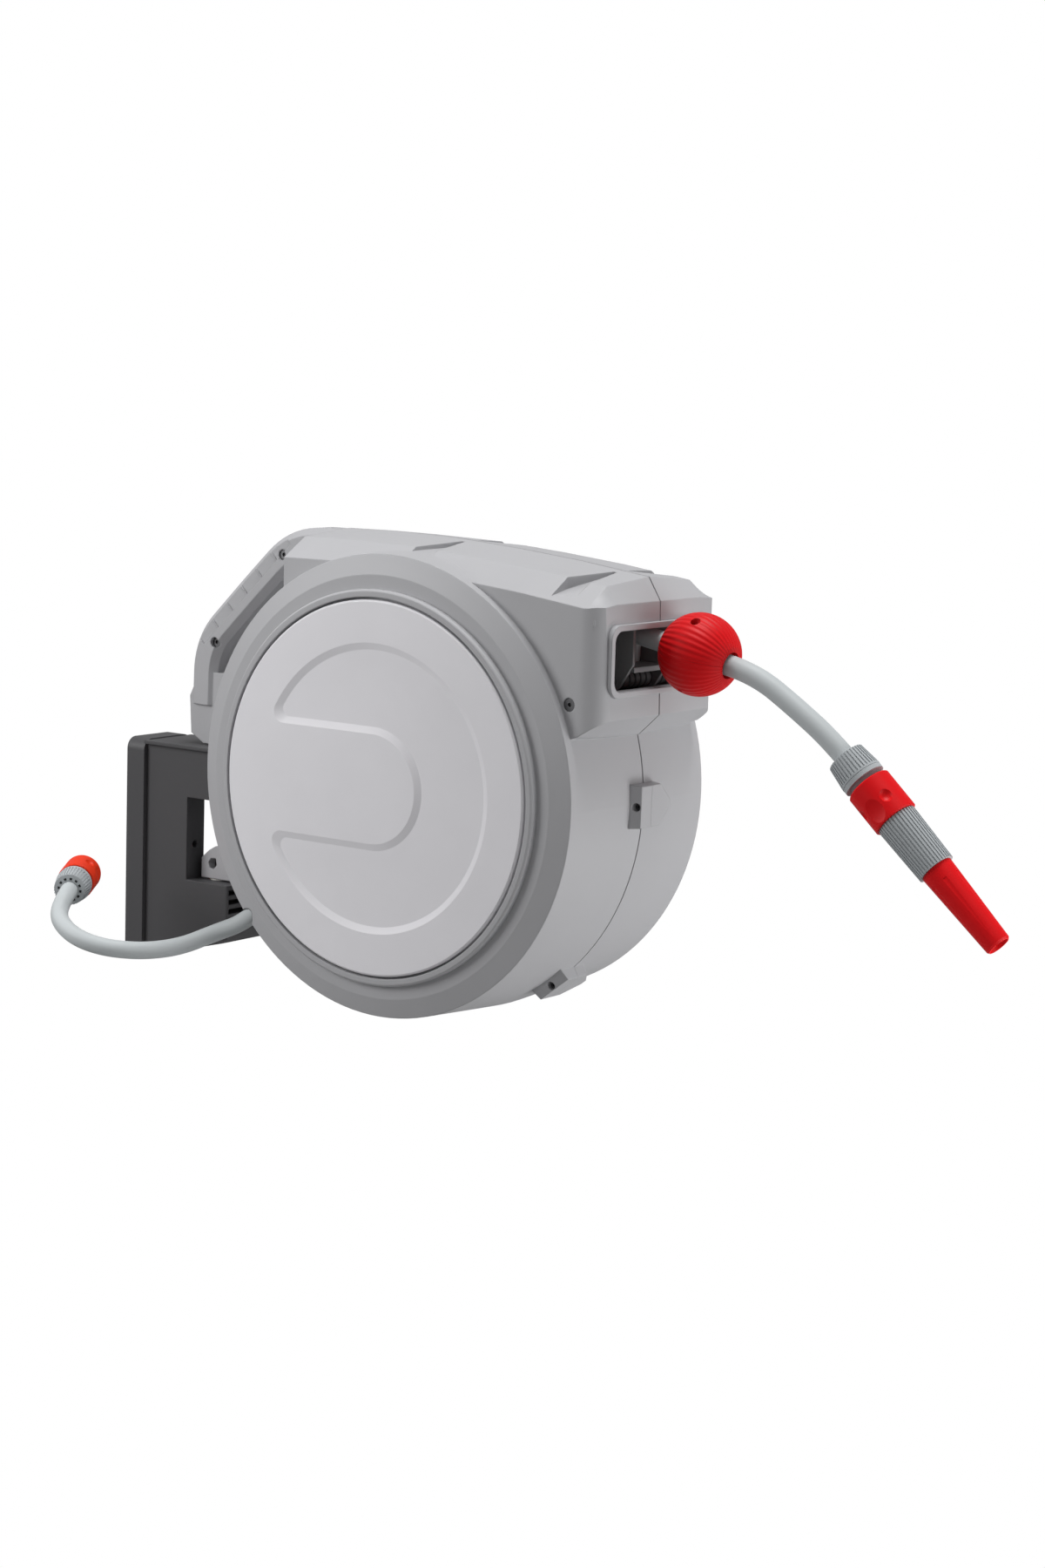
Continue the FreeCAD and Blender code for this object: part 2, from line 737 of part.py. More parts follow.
def window_cut(margin, x_low, x_high):
    half = window_half_width + margin
    body = block(x_low, x_high, -half, half, window_low - margin, window_high + margin)
    edges = [edge for edge in body.Edges if abs(edge.Vertexes[0].X - edge.Vertexes[-1].X) > 1]
    return body.makeFillet(window_corner_radius + margin / 2, edges)


def idler_angle():
    half_distance = math.hypot(*screw_axis) / 2
    return math.degrees(math.atan2(screw_axis[1], screw_axis[0]) + math.acos(half_distance / train_reach))


def idler_centre():
    return on_circle(train_reach, idler_angle())


def inner_fittings(side):
    """Bosses moulded inside one shell: side is -1 for the near one and 1 for the far one."""
    wall = side_wall_inner
    parts = []
    if side > 0:
        parts.append(rod_y(0, 0, wall - 12, wall + 1, spindle_radius + 6))
        parts.append(rod_y(pawl_pivot[0], pawl_pivot[1], drum_face + 8, wall + 1, pawl_pin_radius + 4))
    else:
        x, z = idler_centre()
        parts.append(rod_y(x, z, -wall - 1, gear_near - gear_gap, idler_pin_radius + 4))
        parts.append(rod_y(box_screw[0], box_screw[1], -box_wall_inner - 1,
                           -deck_half_width + box_screw_length + 0.5, box_screw_head_radius + 1.5))
    bush = screw_journal_radius + bush_wall
    low, high = sorted((side * (box_wall_inner + 1), side * (box_wall_inner - 2.5)))
    parts.append(rod_y(screw_axis[0], screw_axis[1], low, high, bush + 3))
    parts.append(rod_y(rod_axis[0], rod_axis[1], low, high, rod_radius + 2.5))
    return parts


def fitting_bores(side):
    cuts = []
    wall = side_wall_inner
    if side > 0:
        cuts.append(rod_y(0, 0, wall - 13, wall, spindle_radius + fixed_clearance))
        cuts.append(rod_y(pawl_pivot[0], pawl_pivot[1], drum_face, wall, pawl_pin_radius + fixed_clearance))
    else:
        x, z = idler_centre()
        cuts.append(rod_y(x, z, -wall, gear_near, idler_pin_radius + fixed_clearance))
    bush = screw_journal_radius + bush_wall + fixed_clearance
    low, high = sorted((side * box_wall_inner, side * (box_wall_inner - 3.5)))
    cuts.append(rod_y(screw_axis[0], screw_axis[1], low, high, bush))
    cuts.append(rod_y(rod_axis[0], rod_axis[1], low, high, rod_radius + fixed_clearance))
    return cuts


def seam_groove():
    """Thin line where the two shells meet: its ring round the case and its strip over the deck."""
    low, high = -seam_groove_width / 2, seam_groove_width / 2
    depth = seam_groove_depth
    outer = case_radius_seam + 0.5
    inner = case_radius_seam - depth
    ring = turned([(inner, low), (outer, low), (outer, high), (inner, high)])
    above = deck_profile(0.0, 0.0, 0.0, -1.0, -1.0)[:-1]
    below = deck_profile(0.0, 0.0, 0.0, depth, depth)[:-1]
    return ring, slab(above + below[::-1], low, high)


def whole_case():
    cavity = joined([case_cavity(), deck_solid(case_wall, deck_roof)])
    skin = deck_solid(1.0, 1.0)
    grooves = []
    trays = []
    for start in groove_starts:
        for side in (-1, 1):
            groove = deck_groove(side, start, 0.0)
            grooves.append(groove)
            trays.append(deck_groove(side, start, groove_wall).common(skin).cut(groove))
    ring, strip = seam_groove()
    body = joined([case_solid().cut(ring), deck_solid(0.0, 0.0).cut(grooves + [strip])])
    outside = [handle_solid(), upper_lug(), lower_lug()] + seam_tabs()
    case = joined([joined([body] + outside).cut(cavity)] + trays)
    cuts = [window_cut(window_frame_width - 2, deck_front_low[0] - 12, deck_front_low[0] + 5)]
    cuts.append(rod_z(swivel_x, 0, upper_lug_low - 1, upper_lug_low + upper_lug_height / 2 + 0.3,
                      swivel_pin_radius + running_clearance))
    cuts.append(rod_z(swivel_x, 0, lower_lug_low - 1, lower_lug_top - lower_pin_from_top + hose_gap,
                      swivel_pin_radius + running_clearance))
    for x, z, head, well, tip, radius in case_screw_list():
        cuts.append(rod_y(x, z, head - 2 * tab_draft, head + well + case_screw_head_height,
                          radius + fixed_clearance))
        cuts.append(rod_y(x, z, head, tip + hose_gap, case_screw_radius + fixed_clearance))
    return case, cuts


def shell(side, case, cuts):
    reach = 2 * wall_to_axle
    low, high = sorted((0, side * reach))
    half = case.common(block(-reach, reach, low, high, -reach, reach))
    half = half.fuse(inner_fittings(side)).removeSplitter()
    half = half.cut(cuts + fitting_bores(side))
    if side < 0:
        half = half.cut(inlet_notch())
    return half


def inlet_notch():
    """Way out of the near shell for the inlet hose, along its first two runs."""
    radius = inlet_hose_radius + notch_margin
    corners = [Vec(*point) for point in inlet_route[:3]]
    first = inlet_direction()
    second = corners[2] - corners[1]
    return [Part.makeCylinder(radius, 46.0, corners[0] - first * 8.0, first),
            Part.makeCylinder(radius, second.Length, corners[1], second)]


def cover(side):
    face = cover_face
    back = side_wall_outer
    inner = cover_radius - cover_thickness
    edge = cover_edge_round
    profile = [(0.0, face - cover_thickness), (inner, face - cover_thickness), (inner, back),
               (cover_radius, back), (cover_radius, face - edge), (cover_radius - edge, face), (0.0, face)]
    disc = turned(profile).cut(motif_recess(face))
    return disc if side > 0 else mirrored(disc)


def motif_recess(face):
    """C-shaped recess with sloping walls, open towards the wall side."""
    drop = motif_depth
    wires = []
    for y, inset in ((face + 1, -motif_slope / drop), (face - drop, motif_slope)):
        wires.append(motif_outline(motif_outer_radius - inset, motif_bar_half_height + inset,
                                   motif_corner - inset / 2, y))
    return Part.makeLoft(wires, True, True)


def motif_outline(outer, bar, corner, y):
    """Large arc closed by a bar that ends in a half circle about the axle; corner rounds both tips."""
    centre_z = bar + corner
    centre_x = -math.sqrt((outer - corner) ** 2 - centre_z ** 2)
    tip = Vec(centre_x, 0, centre_z) * (outer / (outer - corner))
    bisector = Vec(tip.x, 0, tip.z) * (1 / outer) + Vec(0, 0, -1)
    bisector.normalize()
    middle = Vec(centre_x, 0, centre_z) + bisector * corner
    edges = [Part.Arc(Vec(tip.x, y, tip.z), Vec(outer, y, 0), Vec(tip.x, y, -tip.z)),
             Part.Arc(Vec(tip.x, y, -tip.z), Vec(middle.x, y, -middle.z), Vec(centre_x, y, -bar)),
             Part.LineSegment(Vec(centre_x, y, -bar), Vec(0, y, -bar)),
             Part.Arc(Vec(0, y, -bar), Vec(bar, y, 0), Vec(0, y, bar)),
             Part.LineSegment(Vec(0, y, bar), Vec(centre_x, y, bar)),
             Part.Arc(Vec(centre_x, y, bar), Vec(middle.x, y, middle.z), Vec(tip.x, y, tip.z))]
    return Part.Wire([edge.toShape() for edge in edges])


def window_frame():
    outer = window_cut(window_frame_width, deck_front_low[0] - 5, deck_front_low[0] + window_frame_proud)
    outer = outer.cut(deck_solid(0.0, 0.0))
    plug = window_cut(window_frame_width - 2 - fixed_clearance, deck_front_low[0] - window_frame_depth,
                      deck_front_low[0])
    hole = window_cut(0.0, deck_front_low[0] - 20, deck_front_low[0] + 20)
    return joined([outer, plug]).cut(hole)


def case_screws():
    screws = []
    for x, z, head, well, tip, radius in case_screw_list():
        start = head + well
        shank = rod_y(x, z, start + case_screw_head_height - 0.5, tip, case_screw_radius)
        cap = rod_y(x, z, start, start + case_screw_head_height - 0.1, radius)
        socket = rod_y(x, z, start - 1, start + 1.6, 1.6)
        screws.append(joined([shank, cap]).cut(socket))
    return Part.makeCompound(screws)


# Drum

def drum_hub():
    inside = hub_radius - hub_wall
    end = pack_half_width + flange_clearance
    tube = turned([(inside, -end), (hub_radius, -end), (hub_radius, end), (inside, end)])
    bush = spindle_radius + running_clearance + bush_wall + fixed_clearance
    web = turned([(bush, -web_thickness), (inside + 1, -web_thickness), (inside + 1, 0.0), (bush, 0.0)])
    boss = turned([(bush, -12.0), (bush + 4, -12.0), (bush + 4, 4.0), (bush, 4.0)])
    cuts = [rod_z(0, hub_outlet_y, inside - 10, hub_radius + 10, riser_radius + fixed_clearance)]
    for index in range(flange_screw_count):
        x, z = on_circle(flange_screw_ring, 360.0 / flange_screw_count * index)
        low = end - 10.5
        cuts.append(rod_y(x, z, low, drum_face, flange_screw_radius))
        cuts.append(rod_y(x, z, -drum_face, -low, flange_screw_radius))
    return joined([tube, web, boss]).cut(cuts)


def drum_flange(side):
    low = pack_half_width + flange_clearance
    carried = spigot_radius if side < 0 else spindle_radius + running_clearance + bush_wall
    bore = carried + fixed_clearance
    rim = flange_radius - 1
    disc = turned([(bore, low), (rim, low), (flange_radius, low + 1), (flange_radius, drum_face - 1),
                   (rim, drum_face), (bore, drum_face)])
    holes = []
    for index in range(flange_screw_count):
        x, z = on_circle(flange_screw_ring, 360.0 / flange_screw_count * index)
        holes.append(rod_y(x, z, low - 1, drum_face + 1, flange_screw_radius + fixed_clearance))
    disc = disc.cut(holes)
    return disc if side > 0 else mirrored(disc)


def flange_screws():
    screws = []
    inside = pack_half_width + flange_clearance
    for index in range(flange_screw_count):
        x, z = on_circle(flange_screw_ring, 360.0 / flange_screw_count * index)
        screw = rod_y(x, z, inside - 10, drum_face, flange_screw_radius - fixed_clearance)
        screws.append(screw)
        screws.append(mirrored(screw))
    return Part.makeCompound(screws)


def drum_bushes():
    inner = spindle_radius + running_clearance
    outer = inner + bush_wall
    low = pack_half_width + flange_clearance
    bushes = []
    for start, end in ((-12.0, 4.0), (low - 4, drum_face + 0.8)):
        bushes.append(turned([(inner, start), (outer, start), (outer, end), (inner, end)]))
    return Part.makeCompound(bushes)


def spindle():
    return rod_y(0, 0, -spindle_near_end, side_wall_inner - 0.2, spindle_radius)


def water_spigot():
    """Hollow stub of the drum that turns in the fixed elbow, and the bend to the hub's outlet."""
    tube = turned([(spigot_bore, -spigot_end), (spigot_radius - 0.6, -spigot_end),
                   (spigot_radius, -spigot_end + 1), (spigot_radius, -42.0), (spigot_bore, -42.0)])
    grooves = []
    for y in seal_places():
        bottom = spigot_radius - seal_section - fixed_clearance
        grooves.append(turned([(bottom, y - 1.5), (spigot_radius + 1, y - 1.5),
                               (spigot_radius + 1, y + 1.5), (bottom, y + 1.5)]))
    tube = tube.cut(grooves)
    riser = rod_z(0, hub_outlet_y, 7.5, hub_radius - 0.5, riser_radius)
    plug = rod_y(0, 0, -42.0, -40.0, spigot_radius)
    flow = rod_z(0, hub_outlet_y, 0.0, hub_radius + 1, 5.5)
    return joined([tube, riser, plug]).cut(flow).cut(rod_y(0, 0, -spigot_end - 1, -44.0, spigot_bore))


def seal_places():
    return (-spigot_end + 3.5, -spigot_end + 7.5)


def swivel_seals():
    rings = []
    for y in seal_places():
        middle = spigot_radius - seal_section / 2
        ring = Part.makeTorus(middle, seal_section / 2 - 0.02, Vec(0, y, 0), Vec(0, 1, 0))
        rings.append(ring)
    return Part.makeCompound(rings)


def inlet_elbow():
    """Fixed elbow that feeds the turning spigot from the inlet hose."""
    bore = spigot_radius + running_clearance
    body = rod_y(0, 0, -side_wall_inner, -spigot_end + 11, spigot_radius + 5)
    direction = inlet_direction()
    arm = Part.makeCylinder(elbow_tail_radius, 40.0, Vec(0, inlet_route[0][1], 0), direction)
    flange = Part.makeCylinder(9.0, 4.0, Vec(0, inlet_route[0][1], 0) + direction * 22.0, direction)
    flange = flange.common(rod_y(0, 0, -side_wall_inner, -drum_face - 1.5, 60.0))
    body = joined([body, arm, flange])
    cuts = [rod_y(0, 0, -spigot_end - 1.5, -drum_face, bore),
            Part.makeCylinder(elbow_tail_bore, 60.0, Vec(0, inlet_route[0][1], 0), direction)]
    return body.cut(cuts)


def inlet_direction():
    start = inlet_route[0]
    direction = Vec(start[0], 0, start[2])
    direction.normalize()
    return direction


def inlet_tail():
    """Inner end of the inlet hose, from the elbow to the notch in the rim."""
    x, y, z = inlet_route[0]
    direction = inlet_direction()
    start = Vec(0, y, 0) + direction * 26.3
    length = (Vec(x, y, z) - start).Length
    hose = Part.makeCylinder(inlet_hose_radius, length, start, direction)
    return hose.cut(Part.makeCylinder(elbow_tail_radius + fixed_clearance, 14.3, start, direction))


def wound_hose():
    """All layers on the drum, as one ring."""
    return turned([(hub_radius + hose_gap, -pack_half_width), (pack_radius, -pack_half_width),
                   (pack_radius, pack_half_width), (hub_radius + hose_gap, pack_half_width)])


def spring_case():
    start, end, radius = spring_case_start, spring_case_end, spring_case_radius
    wall = spring_case_wall
    bore = arbor_radius + 1.0
    cup = turned([(bore, start), (radius, start), (radius, end), (radius - wall, end),
                  (radius - wall, start + wall), (bore, start + wall)])
    rim = turned([(radius - 0.5, end - 4), (hub_radius - hub_wall - fixed_clearance, end - 4),
                  (hub_radius - hub_wall - fixed_clearance, end), (radius - 0.5, end)])
    return joined([cup, rim])


def spring_case_cover():
    bore = arbor_radius + 1.0
    rim = spring_case_radius - hose_gap
    low, high = spring_case_end, spring_case_end + 1.6
    return turned([(bore, low), (rim, low), (rim, high), (bore, high)])


def spring_arbor():
    bore = spindle_radius + fixed_clearance
    return turned([(bore, spring_case_start + 0.5), (arbor_radius, spring_case_start + 0.5),
                   (arbor_radius, spring_case_end + 1.2), (bore, spring_case_end + 1.2)])


def mainspring():
    """Spiral strip of half circles between the arbor and the spring case."""
    first = arbor_radius + 0.4
    last = spring_case_radius - spring_case_wall - spring_strip - 0.3
    step = (last - first) / (2 * spring_turns)
    edges_in = []
    edges_out = []
    radius = first
    centre = 0.0
    for index in range(2 * spring_turns):
        upward = 1 if index % 2 == 0 else -1
        for bucket, grow in ((edges_in, 0.0), (edges_out, spring_strip)):
            reach = radius + grow
            start = Vec(centre + upward * reach, spring_case_start + 3, 0)
            middle = Vec(centre, spring_case_start + 3, upward * reach)
            end = Vec(centre - upward * reach, spring_case_start + 3, 0)
            bucket.append(Part.Arc(start, middle, end).toShape())
        radius += step / 2
        centre += upward * step / 2
    first_cap = Part.LineSegment(edges_in[0].Vertexes[0].Point, edges_out[0].Vertexes[0].Point).toShape()
    last_cap = Part.LineSegment(edges_in[-1].Vertexes[-1].Point, edges_out[-1].Vertexes[-1].Point).toShape()
    outline = Part.Wire(Part.__sortEdges__(edges_in + [last_cap] + edges_out + [first_cap]))
    return Part.Face(outline).extrude(Vec(0, spring_case_end - spring_case_start - 6, 0))


def ratchet_ring():
    pitch = 360.0 / ratchet_teeth
    points = []
    for index in range(ratchet_teeth):
        points.append(on_circle(ratchet_root_radius, index * pitch - 90))
        points.append(on_circle(ratchet_radius, index * pitch + 0.5 * pitch - 90))
        points.append(on_circle(ratchet_radius, index * pitch + 0.68 * pitch - 90))
    ring = slab(points, drum_face + fixed_clearance, drum_face + ratchet_thickness)
    return ring.cut(rod_y(0, 0, drum_face - 1, drum_face + ratchet_thickness + 1, ratchet_inner_radius))


def pawl():
    """Pawl held clear of the ring by its spring; its swing brings the nose into the teeth."""
    x, z = pawl_pivot
    low, high = drum_face + 0.8, drum_face + ratchet_thickness
    hub = rod_y(x, z, low, high, pawl_pin_radius + 4)
    outline = [(-3, 5), (3, 5), (24, 17), (22, 20), (18, 19)]
    nose = slab([(x + along_x, z + up) for along_x, up in outline], low, high)
    tail = slab([(x - 5, z - 4), (x - 5, z + 4), (x - 20, z - 2), (x - 20, z - 5)], low, high)
    return joined([hub, nose, tail]).cut(rod_y(x, z, low - 1, high + 1, pawl_pin_radius + running_clearance))


def pawl_pin():
    return rod_y(pawl_pivot[0], pawl_pivot[1], drum_face + 0.5, side_wall_inner - 0.3, pawl_pin_radius)


# Level wind

def gear_phases():
    x, z = idler_centre()
    angle = idler_angle()
    small_pitch = 360.0 / small_gear_teeth
    idler_pitch = 360.0 / idler_teeth
    idler_phase = angle + 180 + idler_pitch / 2
    to_screw = math.degrees(math.atan2(screw_axis[1] - z, screw_axis[0] - x))
    share = ((to_screw - idler_phase) % idler_pitch) / idler_pitch
    screw_phase = to_screw + 180 + share * small_pitch + small_pitch / 2
    return angle, idler_phase, screw_phase


def drum_gear():
    phase = gear_phases()[0]
    bore = spigot_radius + fixed_clearance
    return gear(small_gear_teeth, (0.0, 0.0), gear_near, -drum_face - fixed_clearance, phase, bore)


def idler_gear():
    centre = idler_centre()
    phase = gear_phases()[1]
    wheel = gear(idler_teeth, centre, gear_near, gear_far, phase, idler_pin_radius + running_clearance)
    holes = []
    for index in range(5):
        x, z = on_circle(idler_window_ring, 72.0 * index)
        holes.append(rod_y(centre[0] + x, centre[1] + z, gear_near - 1, gear_far + 1, idler_window_radius))
    return wheel.cut(holes)


def idler_pin():
    x, z = idler_centre()
    return rod_y(x, z, -side_wall_inner + 0.3, gear_far, idler_pin_radius)


def screw_gear():
    phase = gear_phases()[2]
    bore = screw_journal_radius + fixed_clearance
    return gear(small_gear_teeth, screw_axis, gear_near, gear_far, phase, bore)


def reversing_screw():
    x, z = screw_axis
    thread = rod_y(x, z, gear_far + 0.2, -gear_far - 0.2, screw_radius)
    journal = rod_y(x, z, -box_wall_inner + 0.2, box_wall_inner - 0.2, screw_journal_radius)
    grooves = []
    for index in range(-thread_turns, thread_turns + 1):
        y = index * thread_pitch
        bottom, top = screw_radius - 1.5, screw_radius + 1
        corners = [(bottom, y - 0.6), (top, y - 1.6), (top, y + 1.6), (bottom, y + 0.6)]
        grooves.append(turned(corners, screw_axis))
    return joined([thread, journal]).cut(grooves)


def screw_bushes():
    x, z = screw_axis
    bushes = []
    for side in (-1, 1):
        low, high = sorted((side * (box_wall_inner - 2.5), side * (box_wall_inner - 0.02)))
        bush = rod_y(x, z, low, high, screw_journal_radius + bush_wall)
        bushes.append(bush.cut(rod_y(x, z, low - 1, high + 1, screw_journal_radius + running_clearance)))
    return Part.makeCompound(bushes)


def guide_rod():
    return rod_y(rod_axis[0], rod_axis[1], -box_wall_inner + 0.2, box_wall_inner - 0.2, rod_radius)


def roller_offset():
    return hose_radius + hose_gap + roller_radius


def hose_guide():
    """Carriage that lays the hose across the drum; it rides the rod and the reversing screw."""
    inner = roller_offset() + roller_radius + 1.0
    outer = inner + cheek_thickness
    screw_x, screw_z = screw_axis
    rod_along, rod_up = rod_axis
    floor = screw_z + screw_radius + 1.0
    back = roller_out - roller_radius - 2
    top = rod_up + rod_radius + 2.5
    outline = [(back, floor), (screw_x - 10, screw_z - 4), (screw_x - 5, screw_z - 10),
               (screw_x + 5, screw_z - 10), (screw_x + 10, screw_z - 4), (guide_front, floor + 6),
               (guide_front, top - 3), (guide_front - 3, top), (back, top)]
    parts = [slab(outline, -outer, -inner), slab(outline, inner, outer)]
    parts.append(block(back, guide_front, -inner - 0.5, inner + 0.5, floor, floor + guide_wall))
    parts.append(block(back, roller_out + 9, -inner - 0.5, inner + 0.5, top - guide_wall, top))
    body = joined(parts)
    cuts = [rod_y(screw_x, screw_z, -outer - 1, outer + 1, screw_radius + running_clearance),
            rod_y(rod_along, rod_up, -outer - 1, outer + 1, rod_radius + running_clearance)]
    for side in (-1, 1):
        cuts.append(rod_z(roller_out, side * roller_offset(), floor + 1, top - 1,
                          roller_pin_radius + fixed_clearance))
    return body.cut(cuts)


def roller_span():
    """Heights between which the two rollers turn."""
    return screw_axis[1] + screw_radius + 1.0 + guide_wall, rod_axis[1] + rod_radius + 2.5 - guide_wall


def roller_pins():
    low, high = roller_span()
    pins = []
    for side in (-1, 1):
        pins.append(rod_z(roller_out, side * roller_offset(), low - 2.8, high + 2.8, roller_pin_radius))
    return Part.makeCompound(pins)


def guide_roller(side):
    low, high = roller_span()
    low += hose_gap
    high -= hose_gap
    y = side * roller_offset()
    roller = rod_z(roller_out, y, low, high, roller_radius)
    return roller.cut(rod_z(roller_out, y, low - 1, high + 1, roller_pin_radius + running_clearance))


# Hose from the drum to the nozzle

def drum_tangent():
    """Where the hose leaves the top of the pack on its way to the guide."""
    radius = pack_radius + hose_gap + hose_radius
    x, z = guide_exit
    distance = math.hypot(x, z)
    angle = math.degrees(math.atan2(z, x) + math.acos(radius / distance))
    return on_circle(radius, angle)


def guided_hose():
    x, z = drum_tangent()
    points = [(x, 0.0, z), (guide_exit[0], 0.0, guide_exit[1]), outlet_route[0]]
    return hose_along(points, "guided_hose", hose_radius, guide_bend_trim)


def ball_axis():
    start = Vec(guide_exit[0], 0, guide_exit[1])
    direction = Vec(*outlet_route[0]) - start
    direction.normalize()
    return start, direction


def ball_half(side):
    """Half of the stop ball, clamped on the hose; side is 1 for the upper half."""
    ball = Part.makeSphere(ball_radius)
    ball = ball.common(block(-ball_radius + ball_flat, ball_radius - ball_flat, -ball_radius, ball_radius,
                             -ball_radius, ball_radius))
    low, high = sorted((side * 0.1, side * ball_radius))
    half = ball.common(block(-ball_radius, ball_radius, -ball_radius, ball_radius, low, high))
    mouth = ball_radius - ball_flat - ball_mouth_depth
    cuts = [rod_x(-ball_radius, ball_radius, 0, 0, hose_radius + ball_bore_clearance),
            rod_x(mouth, ball_radius, 0, 0, ball_mouth_radius)]
    for y in (-ball_screw_spacing / 2, ball_screw_spacing / 2):
        cuts.append(rod_z(0, y, -ball_radius, ball_radius, ball_screw_radius + fixed_clearance))
        cuts.append(rod_z(0, y, 13.0, ball_radius, ball_screw_head_radius + fixed_clearance))
    half = half.cut(cuts)
    half.Placement = ball_placement()
    return half


def ball_placement():
    start, direction = ball_axis()
    centre = start + direction * ((ball_from_axle - start.x) / direction.x)
    return along(tuple(centre), tuple(direction))


def ball_screws():
    screws = []
    for y in (-ball_screw_spacing / 2, ball_screw_spacing / 2):
        shank = rod_z(0, y, -14.0, 13.5, ball_screw_radius)
        head = rod_z(0, y, 13.1, 16.0, ball_screw_head_radius)
        socket = rod_z(0, y, 14.6, 17.0, 1.3)
        screw = joined([shank, head]).cut(socket)
        screw.Placement = ball_placement()
        screws.append(screw)
    return Part.makeCompound(screws)


def route_end(route):
    last, before = Vec(*route[-1]), Vec(*route[-2])
    direction = last - before
    direction.normalize()
    return last, direction


def fitted(shape, route):
    """Carry a fitting drawn along X onto the end of a hose route."""
    last, direction = route_end(route)
    shape.Placement = along(tuple(last), tuple(direction))
    return shape


def inlet_fitted(shape):
    """The same fitting in the size of the thinner inlet hose, on that hose's end."""
    return fitted(shape.scaled(inlet_fitting_size), inlet_route)


def hose_nut():
    grip = ribbed_grip(-nut_length + 2, 2.0, nut_back_radius, nut_front_radius, hose_radius + fixed_clearance)
    grip = grip.cut(rod_x(0, 3, 0, 0, connector_core_radius + fixed_clearance))
    rim = turned_x([(2.0, connector_core_radius + fixed_clearance), (2.0, nut_front_radius),
                    (3.5, nut_front_radius), (3.5, connector_core_radius + fixed_clearance)])
    return joined([grip, rim])


def connector_body():
    """Tube of the quick connector with its collar; the hose is pushed against its back."""
    start = nut_end
    collar_end = start + neck_length
    mouth = collar_end + sleeve_travel + sleeve_length - 2
    core = connector_core_radius
    bore = nozzle_spigot_radius + running_clearance
    way = water_way_radius
    return turned_x([(fixed_clearance, way), (fixed_clearance, core), (start, core), (start, neck_radius),
                     (collar_end, neck_radius), (collar_end, core + 1), (mouth, core + 1), (mouth, bore),
                     (collar_end + 6, bore), (collar_end + 6, way)])


def sleeve_start():
    return nut_end + neck_length + sleeve_travel


def release_sleeve():
    """Sleeve that is pulled back to free the nozzle, with two thumb dimples and scalloped sides."""
    start = sleeve_start()
    end = start + sleeve_length
    bore = sleeve_radius - sleeve_wall
    lip = connector_core_radius + 1 + hose_gap
    sleeve = turned_x([(start, lip), (start, sleeve_radius - 1), (start + 1, sleeve_radius),
                       (end - 0.6, sleeve_radius), (end, sleeve_radius - 0.6), (end, bore), (start + 4, bore),
                       (start + 4, lip)])
    middle = start + sleeve_length / 2
    cuts = []
    for angle in (45.0, 225.0, 135.0, 315.0):
        y, z = on_circle(sleeve_radius + 5.2, angle)
        cuts.append(Part.makeSphere(7.4, Vec(middle + 2, y, z)))
    for angle in (0.0, 180.0):
        y, z = on_circle(sleeve_radius + 33.6, angle)
        cuts.append(Part.makeCylinder(35.0, 80, Vec(middle + 6, y, z) - Vec(0, 0, 40), Vec(0, 0, 1)))
    return sleeve.cut(cuts)


def nozzle_start():
    return sleeve_start() + sleeve_length + hose_gap


def nozzle_body():
    start = nozzle_start()
    end = start + nozzle_body_length
    bore = water_way_radius
    grip = ribbed_grip(start, end, nozzle_body_radius, nozzle_body_end_radius, bore)
    back = start - nozzle_spigot_length
    spigot = turned_x([(back, bore), (back, nozzle_spigot_radius), (start + 1, nozzle_spigot_radius),
                       (start + 1, bore)])
    cavity = turned_x([(end - 30, 0.0), (end - 30, 10.5), (end + 1, 10.5), (end + 1, 0.0)])
    stem = turned_x([(end - 32, 2.0), (end - 32, 4.5), (end - 4, 4.5), (end - 4, 2.0)])
    middle = start + seal_back
    groove = turned_x([(middle - 1, nozzle_spigot_radius - 1.8), (middle - 1, nozzle_spigot_radius + 1),
                       (middle + 1, nozzle_spigot_radius + 1), (middle + 1, nozzle_spigot_radius - 1.8)])
    return joined([joined([grip, spigot]).cut([cavity, groove]), stem])


def nozzle_tip():
    start = nozzle_start() + nozzle_body_length
    end = start + tip_length
    tip = turned_x([(start - 29, tip_bore_radius), (start - 29, 10.45), (start + 0.3, 10.45),
                    (start + 0.3, tip_root_radius),
                    (end - 1.5, tip_end_radius), (end, tip_end_radius - 1.2), (end, tip_bore_radius + 3),
                    (end - 8, tip_bore_radius)])
    flutes = []
    for index in range(tip_flute_count):
        angle = 360.0 / tip_flute_count * (index + 0.5)
        y, z = on_circle(tip_root_radius + 8.2, angle)
        end_y, end_z = on_circle(tip_end_radius + 8.6, angle)
        flutes.append(Part.makeCylinder(9.0, tip_length - 12, Vec(start + 12, y, z),
                                        Vec(tip_length, end_y - y, end_z - z)))
    return tip.cut(flutes)


def nozzle_seal():
    middle = nozzle_start() + seal_back
    return Part.makeTorus(nozzle_spigot_radius - 0.9, 0.85, Vec(middle, 0, 0), Vec(1, 0, 0))


# Writing the pieces

def write(name, shape):
    shape = shape.copy()
    shape.translate(Vec(wall_to_axle, 0, plate_centre_below_axle))
    solids = shape.Solids
    if not solids or not shape.isValid():
        raise ValueError(name + " is not a valid solid")
    piece = solids[0] if len(solids) == 1 else Part.makeCompound(solids)
    piece.exportStep("parts/" + name + ".step")
    print(name, len(solids), round(shape.Volume))


